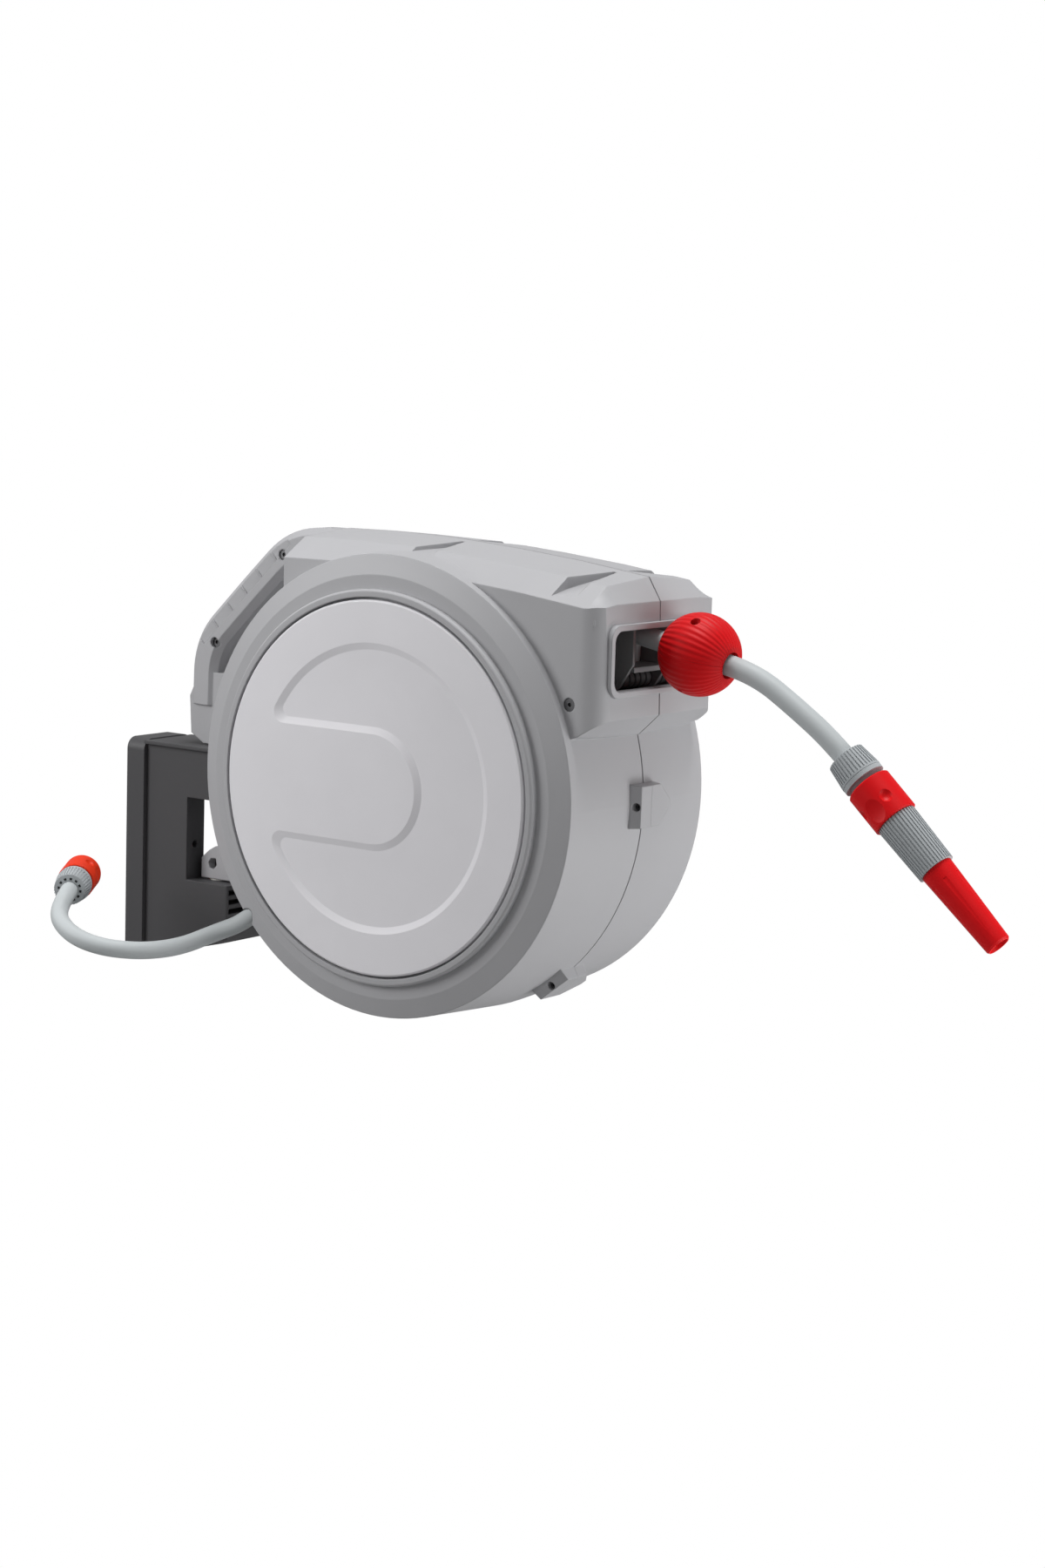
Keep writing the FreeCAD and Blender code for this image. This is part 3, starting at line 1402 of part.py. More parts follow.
def main():
    os.makedirs("parts", exist_ok=True)
    write("wall_plate", wall_plate())
    write("bracket_body", bracket_body())
    write("bracket_lock_screw", bracket_lock_screw())
    write("upper_swivel_pin", upper_swivel_pin())
    write("lower_swivel_pin", lower_swivel_pin())
    write("swivel_washers", swivel_washers())
    case, cuts = whole_case()
    write("near_shell", shell(-1, case, cuts))
    write("far_shell", shell(1, case, cuts))
    write("near_cover", cover(-1))
    write("far_cover", cover(1))
    write("window_frame", window_frame())
    write("case_screws", case_screws())
    write("spindle", spindle())
    write("spring_arbor", spring_arbor())
    write("inlet_elbow", inlet_elbow())
    write("inlet_tail", inlet_tail())
    write("drum_hub", drum_hub())
    write("drum_flange_near", drum_flange(-1))
    write("drum_flange_far", drum_flange(1))
    write("flange_screws", flange_screws())
    write("drum_bushes", drum_bushes())
    write("water_spigot", water_spigot())
    write("swivel_seals", swivel_seals())
    write("wound_hose", wound_hose())
    write("spring_case", spring_case())
    write("spring_case_cover", spring_case_cover())
    write("mainspring", mainspring())
    write("ratchet_ring", ratchet_ring())
    write("pawl", pawl())
    write("pawl_pin", pawl_pin())
    write("drum_gear", drum_gear())
    write("idler_gear", idler_gear())
    write("idler_pin", idler_pin())
    write("screw_gear", screw_gear())
    write("reversing_screw", reversing_screw())
    write("screw_bushes", screw_bushes())
    write("guide_rod", guide_rod())
    write("hose_guide", hose_guide())
    write("roller_pins", roller_pins())
    write("guide_roller_near", guide_roller(-1))
    write("guide_roller_far", guide_roller(1))
    write("guided_hose", guided_hose())
    write("ball_upper", ball_half(1))
    write("ball_lower", ball_half(-1))
    write("ball_screws", ball_screws())
    write("outlet_hose", hose_along(outlet_route, "outlet_hose", hose_radius))
    write("outlet_nut", fitted(hose_nut(), outlet_route))
    write("outlet_connector", fitted(connector_body(), outlet_route))
    write("outlet_sleeve", fitted(release_sleeve(), outlet_route))
    write("nozzle_body", fitted(nozzle_body(), outlet_route))
    write("nozzle_seal", fitted(nozzle_seal(), outlet_route))
    write("nozzle_tip", fitted(nozzle_tip(), outlet_route))
    write("inlet_hose", hose_along(inlet_route, "inlet_hose", inlet_hose_radius))
    write("inlet_nut", inlet_fitted(hose_nut()))
    write("inlet_connector", inlet_fitted(connector_body()))
    write("inlet_sleeve", inlet_fitted(release_sleeve()))


main()
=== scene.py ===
import bmesh
import bpy
import math
from mathutils import Matrix, Vector


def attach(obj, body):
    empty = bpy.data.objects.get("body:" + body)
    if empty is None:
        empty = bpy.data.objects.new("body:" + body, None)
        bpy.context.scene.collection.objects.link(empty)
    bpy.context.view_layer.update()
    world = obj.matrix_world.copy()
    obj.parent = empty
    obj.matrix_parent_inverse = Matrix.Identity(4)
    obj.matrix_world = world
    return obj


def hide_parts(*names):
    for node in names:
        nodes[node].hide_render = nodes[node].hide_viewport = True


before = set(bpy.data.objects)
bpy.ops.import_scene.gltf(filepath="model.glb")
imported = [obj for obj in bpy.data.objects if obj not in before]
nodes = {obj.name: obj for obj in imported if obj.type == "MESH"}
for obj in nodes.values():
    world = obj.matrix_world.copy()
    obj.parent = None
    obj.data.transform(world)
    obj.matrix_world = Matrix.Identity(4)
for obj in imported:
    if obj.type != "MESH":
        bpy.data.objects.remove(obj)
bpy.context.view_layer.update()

# %% [markdown]
# The camera stands where the photographer stood: well off the near cover, towards the nozzle and a
# little above the axle. It could be aimed by eye. Its place and lens were instead matched to the
# round case, the cover and the straight edges of the deck, so that every edge falls where it should.
# %% Camera
CAMERA_PLACE = (1.9119, -2.0502, 0.4622)
CAMERA_RIGHT = Vector((0.8030, 0.5952, 0.0297))
CAMERA_FORWARD = Vector((-0.5860, 0.7977, -0.1425))
LENS_LENGTH = 73.47
SENSOR_WIDTH = 36.0
NEAREST_SEEN = 0.05
FARTHEST_SEEN = 50.0


def add_camera():
    """Camera at the photographer's place, with its three axes made square to each other."""
    right = CAMERA_RIGHT.normalized()
    back = -CAMERA_FORWARD.normalized()
    up = back.cross(right).normalized()
    right = up.cross(back)
    data = bpy.data.cameras.new("camera")
    data.lens = LENS_LENGTH
    data.sensor_fit = "AUTO"
    data.sensor_width = SENSOR_WIDTH
    data.clip_start = NEAREST_SEEN
    data.clip_end = FARTHEST_SEEN
    camera = bpy.data.objects.new("camera", data)
    turn = Matrix((right, up, back)).transposed().to_4x4()
    camera.matrix_world = Matrix.Translation(CAMERA_PLACE) @ turn
    bpy.context.collection.objects.link(camera)
    bpy.context.scene.camera = camera


add_camera()
print("camera", CAMERA_PLACE)

# %% [markdown]
# A hose is a round tube that bends without corners. It could be a mesh swept by hand, but a curve
# with a bevel does the same from a few points, and its thickness is one number. The points steer a
# NURBS spline of order 3, which runs smoothly past them and starts and ends on the outer two.
# %% Tube along a spline
SPLINE_ORDER = 3


def tube(name, places, radius, steps_along, steps_round):
    """A closed round tube along one smooth spline with the given places as its controls."""
    curve = bpy.data.curves.new(name, "CURVE")
    curve.dimensions = "3D"
    spline = curve.splines.new("NURBS")
    spline.points.add(len(places) - 1)
    for point, place in zip(spline.points, places):
        point.co = (*place, 1.0)
    spline.order_u = SPLINE_ORDER
    spline.use_endpoint_u = True
    spline.resolution_u = steps_along
    curve.bevel_depth = radius
    curve.bevel_resolution = steps_round
    curve.use_fill_caps = True
    piece = bpy.data.objects.new(name, curve)
    bpy.context.collection.objects.link(piece)
    return piece


print("tubes run on splines of order", SPLINE_ORDER)

# %% [markdown]
# Two hoses hang free: one from the stop ball to the nozzle, and a thinner one from the rim of the
# case, past the bracket, to its tap connector. Their points were set over the photograph, in
# millimetres about the axle, and are those of the part's source, so that drawing and solid agree.
# A third stretch, behind the window, runs straight from the drum to the guide and on to the ball.
# %% Free hoses
AXLE = Vector((0.333, 0.0, 0.094))
MM = 0.001
HOSE_RADIUS = 8.25 * MM
INLET_RADIUS = 7.25 * MM
HOSE_STEPS_ALONG = 16
HOSE_STEPS_ROUND = 10

OUTLET_ROUTE = [(268.0, 0.0, 113.9), (291.0, 0.0, 108.84), (325.0, 0.0, 88.5), (359.5, 0.0, 65.5),
                (383.3, 0.0, 43.7)]
INLET_ROUTE = [(-130.0, -85.0, -115.6), (-145.0, -85.0, -128.94), (-170.1, -96.0, -140.6),
               (-181.3, -122.9, -149.4), (-190.5, -154.9, -150.2), (-204.3, -181.4, -146.6),
               (-222.6, -193.0, -141.8), (-242.6, -193.8, -135.4), (-267.1, -181.2, -127.3),
               (-273.4, -164.5, -112.3), (-288.4, -141.0, -109.6)]
GUIDED_ROUTE = [(29.4, 0.0, 160.4), (193.0, 0.0, 130.4), (268.0, 0.0, 113.9)]


def placed(point):
    """A point given about the axle in millimetres, in the frame in metres."""
    return AXLE + Vector(point) * MM


def hose(name, route, radius):
    """One hose along its route."""
    places = [placed(point) for point in route]
    return tube(name, places, radius, HOSE_STEPS_ALONG, HOSE_STEPS_ROUND)


outlet_line = hose("outlet_hose_line", OUTLET_ROUTE, HOSE_RADIUS)
inlet_line = hose("inlet_hose_line", INLET_ROUTE, INLET_RADIUS)
guided_line = hose("guided_hose_line", GUIDED_ROUTE, HOSE_RADIUS)
print("hoses", outlet_line.name, inlet_line.name, guided_line.name)

# %% [markdown]
# About 33 metres of hose fill the drum in six layers, and only the outermost is ever seen, through
# the window. All six could be drawn, at six times the faces. One close helix of the outermost layer
# looks the same.
# %% Outer layer on the drum
PACK_RADIUS = 154.5 * MM
PACK_HALF_WIDTH = 67.2 * MM
TURNS = 7
POINTS_PER_TURN = 32
LAYER_STEPS_ALONG = 3
LAYER_STEPS_ROUND = 5


def helix_places():
    """The middle line of the hose, turn beside turn, from one flange to the other."""
    radius = PACK_RADIUS - HOSE_RADIUS
    reach = PACK_HALF_WIDTH - HOSE_RADIUS
    last = TURNS * POINTS_PER_TURN
    places = []
    for index in range(last + 1):
        angle = 2 * math.pi * index / POINTS_PER_TURN
        y = -reach + 2 * reach * index / last
        places.append(AXLE + Vector((radius * math.cos(angle), y, radius * math.sin(angle))))
    return places


layer = tube("wound_layer", helix_places(), HOSE_RADIUS, LAYER_STEPS_ALONG, LAYER_STEPS_ROUND)
print("outer layer", layer.name, "turns", TURNS)

# %% [markdown]
# Under that helix the drum must not look empty between the turns. The five inner layers could be
# five more helices. A plain ring turned about the axle, which covers the lowest part of each turn,
# fills the same room with few faces.
# %% Ring under the outer layer
HUB_RADIUS = 66.3 * MM
RING_DEPTH = 1.6 * HOSE_RADIUS
RING_STEPS = 96


def turned_ring(name, profile):
    """Closed ring: (radius, y) corners turned about the axle."""
    mesh = bpy.data.meshes.new(name)
    shape = bmesh.new()
    sections = []
    for index in range(RING_STEPS):
        angle = 2 * math.pi * index / RING_STEPS
        section = []
        for radius, y in profile:
            place = AXLE + Vector((radius * math.cos(angle), y, radius * math.sin(angle)))
            section.append(shape.verts.new(place))
        sections.append(section)
    corners = len(profile)
    for index in range(RING_STEPS):
        here = sections[index]
        there = sections[(index + 1) % RING_STEPS]
        for side in range(corners):
            after = (side + 1) % corners
            shape.faces.new((here[side], here[after], there[after], there[side]))
    bmesh.ops.recalc_face_normals(shape, faces=shape.faces)
    shape.to_mesh(mesh)
    shape.free()
    piece = bpy.data.objects.new(name, mesh)
    bpy.context.collection.objects.link(piece)
    return piece


ring_radius = PACK_RADIUS - RING_DEPTH
core = turned_ring("wound_core", [(HUB_RADIUS, -PACK_HALF_WIDTH), (ring_radius, -PACK_HALF_WIDTH),
                                  (ring_radius, PACK_HALF_WIDTH), (HUB_RADIUS, PACK_HALF_WIDTH)])
print("ring", core.name, "faces", len(core.data.polygons))

# %% [markdown]
# The real plastics are matte, with a fine moulded grain and softly rounded edges. A flat colour
# would look like paper, and a picture of plastic would stretch. So one recipe makes them all from
# noise on the piece's own coordinates: a faint cloudy tint, a grain as relief, and the Bevel node,
# which only bends the light at edges and leaves the shape alone.
# %% Plastics
CLOUD_SCALE = 14.0
CLOUD_DETAIL = 4.0
GRAIN_DETAIL = 2.0
GRAIN_HEIGHT = 0.5 * MM
ROUGHNESS_SPREAD = 0.06
EDGE_SAMPLES = 6


def noise(tree, scale, detail, coordinates):
    """Noise texture on the piece's own coordinates."""
    texture = tree.nodes.new("ShaderNodeTexNoise")
    texture.inputs["Scale"].default_value = scale
    texture.inputs["Detail"].default_value = detail
    tree.links.new(coordinates.outputs["Object"], texture.inputs["Vector"])
    return texture


def plastic(name, colour, roughness=0.5, grain=900.0, bump=0.05, edge=0.9 * MM, tint=0.04,
            specular=0.4):
    """Plastic with cloudy tint, grain and, where edge is given, edges that look rounded by it."""
    material = bpy.data.materials.new(name)
    material.use_nodes = True
    tree = material.node_tree
    links = tree.links
    shader = tree.nodes["Principled BSDF"]
    shader.inputs["Specular IOR Level"].default_value = specular
    coordinates = tree.nodes.new("ShaderNodeTexCoord")
    cloud = noise(tree, CLOUD_SCALE, CLOUD_DETAIL, coordinates)
    fine = noise(tree, grain, GRAIN_DETAIL, coordinates)
    mix = tree.nodes.new("ShaderNodeMixRGB")
    mix.inputs["Color1"].default_value = (*[part * (1 - tint) for part in colour], 1.0)
    mix.inputs["Color2"].default_value = (*[min(1.0, part * (1 + tint)) for part in colour], 1.0)
    rough = tree.nodes.new("ShaderNodeMapRange")
    rough.inputs["To Min"].default_value = roughness - ROUGHNESS_SPREAD
    rough.inputs["To Max"].default_value = roughness + ROUGHNESS_SPREAD
    relief = tree.nodes.new("ShaderNodeBump")
    relief.inputs["Strength"].default_value = bump
    relief.inputs["Distance"].default_value = GRAIN_HEIGHT
    links.new(cloud.outputs["Fac"], mix.inputs["Fac"])
    links.new(mix.outputs["Color"], shader.inputs["Base Color"])
    links.new(fine.outputs["Fac"], rough.inputs["Value"])
    links.new(rough.outputs["Result"], shader.inputs["Roughness"])
    links.new(fine.outputs["Fac"], relief.inputs["Height"])
    links.new(relief.outputs["Normal"], shader.inputs["Normal"])
    if edge:
        bevel = tree.nodes.new("ShaderNodeBevel")
        bevel.samples = EDGE_SAMPLES
        bevel.inputs["Radius"].default_value = edge
        links.new(bevel.outputs["Normal"], relief.inputs["Normal"])
    return material


print("plastic recipe ready, clouds", CLOUD_SCALE, "to the metre")

# %% [markdown]
# Pins, screws, the main spring and the brass spigot are bare metal, brushed or turned. Their
# unevenness is of the same kind, only stronger in tint, so they are the plastic recipe with the
# shader's metallic socket at one. The small smooth parts, fittings and hoses, have a wider and
# fainter grain instead, because a fine one would only sparkle on them.
# %% Metals and small parts
METAL_FINISH = {"grain": 300.0, "bump": 0.08, "edge": 0.3 * MM, "tint": 0.08, "specular": 0.5}
SMALL_PART = {"grain": 120.0, "bump": 0.01, "edge": 0.0, "tint": 0.03, "specular": 0.2}


def metal(name, colour, roughness):
    """Bare metal of the given colour."""
    material = plastic(name, colour, roughness, **METAL_FINISH)
    shader = material.node_tree.nodes["Principled BSDF"]
    shader.inputs["Metallic"].default_value = 1.0
    return material


print("metal recipe ready")

# %% [markdown]
# Two details run round an axis: the ribs of the stop ball and the painted shade in the gaps in the
# back of the inlet nut. Both need the piece's coordinates turned so that Z lies on that axis, and a
# wave that repeats evenly round it. Painting them on an unwrapped surface would stretch them. A
# Mapping node and the radial gradient give them for any axis.
# %% Waves round an axis
def maths(tree, kind, operation, value, *sources):
    """A maths node whose first inputs come from sources and whose next one is a plain value."""
    node = tree.nodes.new(kind)
    node.operation = operation
    for index, source in enumerate(sources):
        tree.links.new(source, node.inputs[index])
    if value is not None:
        node.inputs[len(sources)].default_value = value
    return node


def on_axis(tree, place, axis):
    """The piece's coordinates, with the given place as origin and the axis as Z."""
    turn = Vector(axis).to_track_quat("Z", "Y").to_matrix().to_4x4()
    inverse = (Matrix.Translation(place) @ turn).inverted()
    mapping = tree.nodes.new("ShaderNodeMapping")
    mapping.inputs["Location"].default_value = inverse.to_translation()
    mapping.inputs["Rotation"].default_value = inverse.to_euler()
    coordinates = next(node for node in tree.nodes if node.type == "TEX_COORD")
    tree.links.new(coordinates.outputs["Object"], mapping.inputs["Vector"])
    return mapping.outputs["Vector"]


def waves_round(tree, vector, count):
    """A sine that goes through count waves in one turn round Z."""
    turn = tree.nodes.new("ShaderNodeTexGradient")
    turn.gradient_type = "RADIAL"
    tree.links.new(vector, turn.inputs["Vector"])
    angle = maths(tree, "ShaderNodeMath", "MULTIPLY", 2 * math.pi * count, turn.outputs["Fac"])
    return maths(tree, "ShaderNodeMath", "SINE", None, angle.outputs["Value"]).outputs["Value"]


print("waves round an axis ready")

# %% [markdown]
# The stop ball is covered with low ribs that run along the hose. They are only 0.2 mm high, so
# cutting them into the mesh would cost thousands of faces for a few pixels. Relief in the material,
# laid under the grain, shades like them.
# %% Ribs of the stop ball
def ribbed(material, place, axis, count, depth):
    """Adds ribs that run along the axis, evenly round it."""
    tree = material.node_tree
    fine = next(node for node in tree.nodes if node.type == "BUMP")
    relief = tree.nodes.new("ShaderNodeBump")
    relief.inputs["Distance"].default_value = depth
    vector = on_axis(tree, place, axis)
    tree.links.new(waves_round(tree, vector, count), relief.inputs["Height"])
    tree.links.new(relief.outputs["Normal"], fine.inputs["Normal"])
    return material


BALL_PLACE = placed((238.0, 0.0, 120.5))
BALL_AXIS = Vector(OUTLET_ROUTE[1]) - Vector(OUTLET_ROUTE[0])
BALL_RIBS = 40
RIB_HEIGHT = 0.2 * MM
ball_plastic = plastic("ball_red", (0.66, 0.002, 0.005), **SMALL_PART)
ball_red = ribbed(ball_plastic, BALL_PLACE, BALL_AXIS, BALL_RIBS, RIB_HEIGHT)
print("ribs on", ball_red.name, BALL_RIBS)

# %% [markdown]
# The back of the inlet nut has gaps between the fingers that grip the hose, in a narrow ring, dark
# with shade. Slots cut into the solid would add many small faces for a detail that is barely seen.
# So the material paints their shade as a dark colour: a mask of ring, face and wave picks out each
# gap.
# %% Painted shade in the gaps of the inlet nut
# Painted shade: the dark colour given to the gaps in place of the shade inside them.
GAP_SHADE_COLOUR = (0.02, 0.022, 0.023, 1.0)
GAP_FACE_DEPTH = 0.3 * MM
GAP_LEVEL = 0.1


def near(tree, source, middle, margin):
    """One where the source is within margin of the middle, else nought."""
    node = tree.nodes.new("ShaderNodeMath")
    node.operation = "COMPARE"
    tree.links.new(source, node.inputs[0])
    node.inputs[1].default_value = middle
    node.inputs[2].default_value = margin
    return node.outputs["Value"]


def shade_gaps(material, place, axis, count, ring, half_width):
    """Paints shade as a dark colour into gaps in a ring of the face through place, square to the axis.
    """
    tree = material.node_tree
    shader = tree.nodes["Principled BSDF"]
    vector = on_axis(tree, place, axis)
    split = tree.nodes.new("ShaderNodeSeparateXYZ")
    tree.links.new(vector, split.inputs["Vector"])
    flat = maths(tree, "ShaderNodeVectorMath", "MULTIPLY", (1.0, 1.0, 0.0), vector)
    reach = maths(tree, "ShaderNodeVectorMath", "LENGTH", None, flat.outputs["Vector"])
    in_ring = near(tree, reach.outputs["Value"], ring, half_width)
    in_face = near(tree, split.outputs["Z"], 0.0, GAP_FACE_DEPTH)
    gap = maths(tree, "ShaderNodeMath", "GREATER_THAN", GAP_LEVEL, waves_round(tree, vector, count))
    both = maths(tree, "ShaderNodeMath", "MULTIPLY", None, in_ring, in_face)
    mask = maths(tree, "ShaderNodeMath", "MULTIPLY", None, both.outputs["Value"], gap.outputs["Value"])
    # Painted shade: the masked gaps are mixed to the dark colour.
    paint = tree.nodes.new("ShaderNodeMixRGB")
    paint.inputs["Color2"].default_value = GAP_SHADE_COLOUR
    tree.links.new(shader.inputs["Base Color"].links[0].from_socket, paint.inputs["Color1"])
    tree.links.new(mask.outputs["Value"], paint.inputs["Fac"])
    tree.links.new(paint.outputs["Color"], shader.inputs["Base Color"])
    return material


FITTING_COLOUR = (0.42, 0.445, 0.46)
INLET_END = Vector(INLET_ROUTE[-1])
INLET_AXIS = (INLET_END - Vector(INLET_ROUTE[-2])).normalized()
INLET_NUT_LENGTH = 14.06
NUT_BACK = placed(INLET_END - INLET_AXIS * INLET_NUT_LENGTH)
NUT_GAPS = 12
GAP_RING_RADIUS = 9.2 * MM
GAP_HALF_WIDTH = 1.0 * MM
# The inlet nut's grey, with painted shade in its gaps.
nut_plastic = plastic("nut_grey_gap_shade", FITTING_COLOUR, **SMALL_PART)
nut_grey_gap_shade = shade_gaps(nut_plastic, NUT_BACK, INLET_AXIS, NUT_GAPS, GAP_RING_RADIUS, GAP_HALF_WIDTH)
print("gaps in", nut_grey_gap_shade.name, NUT_GAPS)

# %% [markdown]
# The case is a mid grey and its round cover much paler, the bracket nearly black. The fittings are
# grey and signal red, the tap connector's sleeve more orange. Inside, unseen in the photograph, the
# drum is black and the gears are natural nylon. Each is one call of the recipe, so a finish can be
# changed in one place. The case and the bracket are large mouldings with wider rounded edges.
# %% Colours
CASE_EDGE = 1.6 * MM
BRACKET_EDGE = 1.2 * MM

case_grey = plastic("case_grey", (0.43, 0.43, 0.445), edge=CASE_EDGE)
cover_grey = plastic("cover_grey", (0.80, 0.79, 0.82))
bracket_grey = plastic("bracket_grey", (0.068, 0.067, 0.071), edge=BRACKET_EDGE)
drum_black = plastic("drum_black", (0.03, 0.03, 0.032))
gear_nylon = plastic("gear_nylon", (0.70, 0.68, 0.62), roughness=0.45)
guide_grey = plastic("guide_grey", (0.24, 0.24, 0.245))
roller_grey = plastic("roller_grey", (0.35, 0.35, 0.355), roughness=0.45)
screw_dark = plastic("screw_dark", (0.10, 0.10, 0.102))
washer_white = plastic("washer_white", (0.78, 0.77, 0.72), roughness=0.35)
seal_black = plastic("seal_black", (0.012, 0.012, 0.012), roughness=0.6)
hose_grey = plastic("hose_grey", (0.50, 0.53, 0.54), **SMALL_PART)
fitting_grey = plastic("fitting_grey", FITTING_COLOUR, **SMALL_PART)
signal_red = plastic("signal_red", (0.72, 0.002, 0.005), roughness=0.45, **SMALL_PART)
sleeve_orange = plastic("sleeve_orange", (0.78, 0.036, 0.006), roughness=0.45, **SMALL_PART)
screw_steel = metal("screw_steel", (0.13, 0.13, 0.135), roughness=0.45)
pin_steel = metal("pin_steel", (0.22, 0.22, 0.225), roughness=0.4)
spring_steel = metal("spring_steel", (0.20, 0.22, 0.28), roughness=0.35)
brass = metal("spigot_brass", (0.72, 0.52, 0.22), roughness=0.3)
print("materials", len(bpy.data.materials))

# %% [markdown]
# Each node of the frame came with a plain material in its slot. The slot is kept, because other
# tools know the piece by it, and only the material in it is changed for what the piece is made of.
# %% Dressing the nodes
DRESS = (
    (bracket_grey, ("wall_plate", "bracket_body")),
    (case_grey, ("near_shell", "far_shell", "window_frame")),
    (cover_grey, ("near_cover", "far_cover")),
    (screw_steel, ("bracket_lock_screw", "case_screws", "flange_screws", "ball_screws")),
    (pin_steel, ("upper_swivel_pin", "lower_swivel_pin", "spindle", "spring_arbor")),
    (pin_steel, ("pawl_pin", "idler_pin", "guide_rod", "roller_pins")),
    (washer_white, ("swivel_washers", "drum_bushes", "screw_bushes")),
    (drum_black, ("drum_hub", "drum_flange_near", "drum_flange_far")),
    (drum_black, ("spring_case", "spring_case_cover")),
    (gear_nylon, ("ratchet_ring", "pawl", "drum_gear", "idler_gear", "screw_gear", "inlet_elbow")),
    (guide_grey, ("hose_guide",)),
    (roller_grey, ("guide_roller_near", "guide_roller_far")),
    (screw_dark, ("reversing_screw",)),
    (brass, ("water_spigot",)),
    (spring_steel, ("mainspring",)),
    (seal_black, ("swivel_seals", "nozzle_seal")),
    (hose_grey, ("inlet_tail",)),
    (ball_red, ("ball_upper", "ball_lower")),
    (signal_red, ("outlet_sleeve", "nozzle_tip")),
    (sleeve_orange, ("inlet_sleeve",)),
    (nut_grey_gap_shade, ("inlet_nut",)),
    (fitting_grey, ("outlet_nut", "outlet_connector", "nozzle_body", "inlet_connector")),
)
dressed = 0
for material, names in DRESS:
    for name in names:
        for slot in nodes[name].material_slots:
            slot.material = material
        dressed += 1
soft_pieces = (outlet_line, inlet_line, guided_line, layer, core)
for piece in soft_pieces:
    piece.data.materials.append(hose_grey)
print("nodes dressed", dressed, "soft pieces dressed", len(soft_pieces))

# %% [markdown]
# A drawn piece has to move with the reel. It could be parented by hand, but the frame knows its
# bodies, so each piece is parented to the body it rides on, and the plain solid it stands for is
# hidden. The outlet hose and the guided stretch ride with the guide, because the hose runs through it.
# %% Riding and replacing
RIDES = (
    (outlet_line, "guide_carriage", "outlet_hose"),
    (inlet_line, "reel_case", "inlet_hose"),
    (guided_line, "guide_carriage", "guided_hose"),
    (layer, "drum", "wound_hose"),
    (core, "drum", "wound_hose"),
)
for piece, body, node in RIDES:
    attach(piece, body)
    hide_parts(node)
print("pieces riding", len(RIDES))

# %% [markdown]
# The photograph's background is plain white. A floor lit until it is white would bleach the object
# too. So the floor is white only where the camera sees it directly, and an ordinary pale surface
# for all light, which throws some of it back at the underside of the case.
# %% Floor
FLOOR_HEIGHT = -0.45
FLOOR_REACH = 12.0
FLOOR_COLOUR = (0.32, 0.32, 0.32, 1.0)
WHITE = (1.0, 1.0, 1.0, 1.0)


def pale(name):
    """Seen directly it is plain white; for light it is an ordinary pale surface."""
    material = bpy.data.materials.new(name)
    material.use_nodes = True
    tree = material.node_tree
    output = tree.nodes["Material Output"]
    shader = tree.nodes["Principled BSDF"]
    shader.inputs["Base Color"].default_value = FLOOR_COLOUR
    glow = tree.nodes.new("ShaderNodeEmission")
    glow.inputs["Color"].default_value = WHITE
    mix = tree.nodes.new("ShaderNodeMixShader")
    path = tree.nodes.new("ShaderNodeLightPath")
    tree.links.new(path.outputs["Is Camera Ray"], mix.inputs["Fac"])
    tree.links.new(shader.outputs["BSDF"], mix.inputs[1])
    tree.links.new(glow.outputs["Emission"], mix.inputs[2])
    tree.links.new(mix.outputs["Shader"], output.inputs["Surface"])
    return material


def floor():
    """A wide flat sheet under the reel, which belongs to the stage and not to the object."""
    mesh = bpy.data.meshes.new("floor")
    corners = [(-FLOOR_REACH, -FLOOR_REACH, FLOOR_HEIGHT), (FLOOR_REACH, -FLOOR_REACH, FLOOR_HEIGHT),
               (FLOOR_REACH, FLOOR_REACH, FLOOR_HEIGHT), (-FLOOR_REACH, FLOOR_REACH, FLOOR_HEIGHT)]
    mesh.from_pydata(corners, [], [(0, 1, 2, 3)])
    piece = bpy.data.objects.new("floor", mesh)
    mesh.materials.append(pale("floor_pale"))
    bpy.context.collection.objects.link(piece)


floor()
print("floor at", FLOOR_HEIGHT)

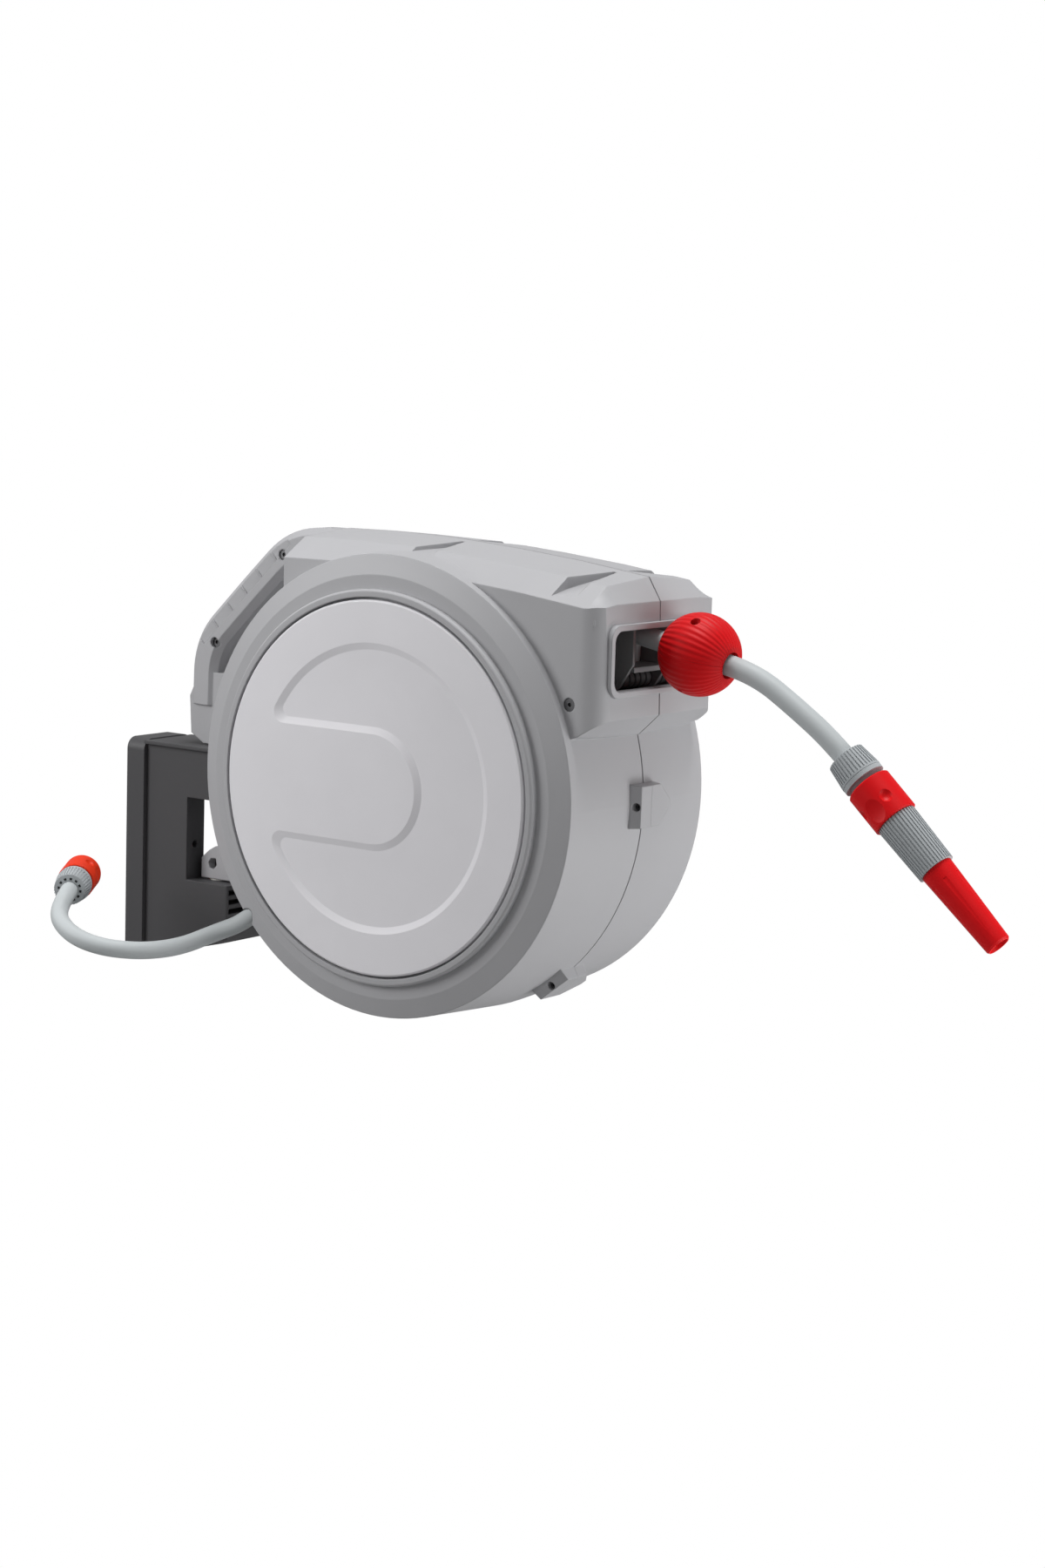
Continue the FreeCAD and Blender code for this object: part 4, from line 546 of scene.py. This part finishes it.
# %% [markdown]
# Around the reel is an even glow instead of a room, so that no side falls into the dark. Walls could
# be built, but they would hide views from behind. The world is one colour, white for the camera and
# dimmer for light, by the same test as the floor.
# %% Surround
SURROUND_LEVEL = 0.28
SEEN_LEVEL = 1.0


def surround():
    """An even world, dimmer for light than for the camera."""
    world = bpy.data.worlds.new("surround")
    bpy.context.scene.world = world
    world.use_nodes = True
    tree = world.node_tree
    back = tree.nodes["Background"]
    back.inputs["Color"].default_value = WHITE
    level = tree.nodes.new("ShaderNodeMapRange")
    level.inputs["To Min"].default_value = SURROUND_LEVEL
    level.inputs["To Max"].default_value = SEEN_LEVEL
    path = tree.nodes.new("ShaderNodeLightPath")
    tree.links.new(path.outputs["Is Camera Ray"], level.inputs["Value"])
    tree.links.new(level.outputs["Result"], back.inputs["Strength"])


surround()
print("surround", SURROUND_LEVEL)

# %% [markdown]
# Four round soft lamps shape the object: a large one high above the deck, a weaker one on the left
# for the round cover, a broad one from the front for the box and the band, and a small one below
# that lifts the underside. One lamp would leave hard contrasts. Their powers were set until each
# face came close to its tone in the photograph, and they are wide, so that shadows stay soft.
# %% Lamps
def lamp(name, place, target, size, power):
    """A round area lamp aimed at the target, which the camera doesn't see."""
    data = bpy.data.lights.new(name, "AREA")
    data.shape = "DISK"
    data.size = size
    data.energy = power
    light = bpy.data.objects.new(name, data)
    light.location = place
    aim = Vector(target) - Vector(place)
    light.rotation_euler = aim.to_track_quat("-Z", "Y").to_euler()
    light.visible_camera = False
    bpy.context.collection.objects.link(light)


lamp("top", place=(0.6, 0.1, 2.4), target=(0.4, 0.0, 0.1), size=1.2, power=45.0)
lamp("left", place=(-0.5, -1.0, 0.6), target=(0.25, -0.1, 0.1), size=0.8, power=9.5)
lamp("right", place=(2.4, 0.4, 0.0), target=(0.4, 0.0, 0.1), size=1.6, power=15.0)
lamp("low", place=(1.2, 0.3, -0.38), target=(0.45, 0.0, -0.05), size=0.6, power=5.0)
bpy.context.scene.view_settings.view_transform = "Standard"
print("lights", len(bpy.data.lights))
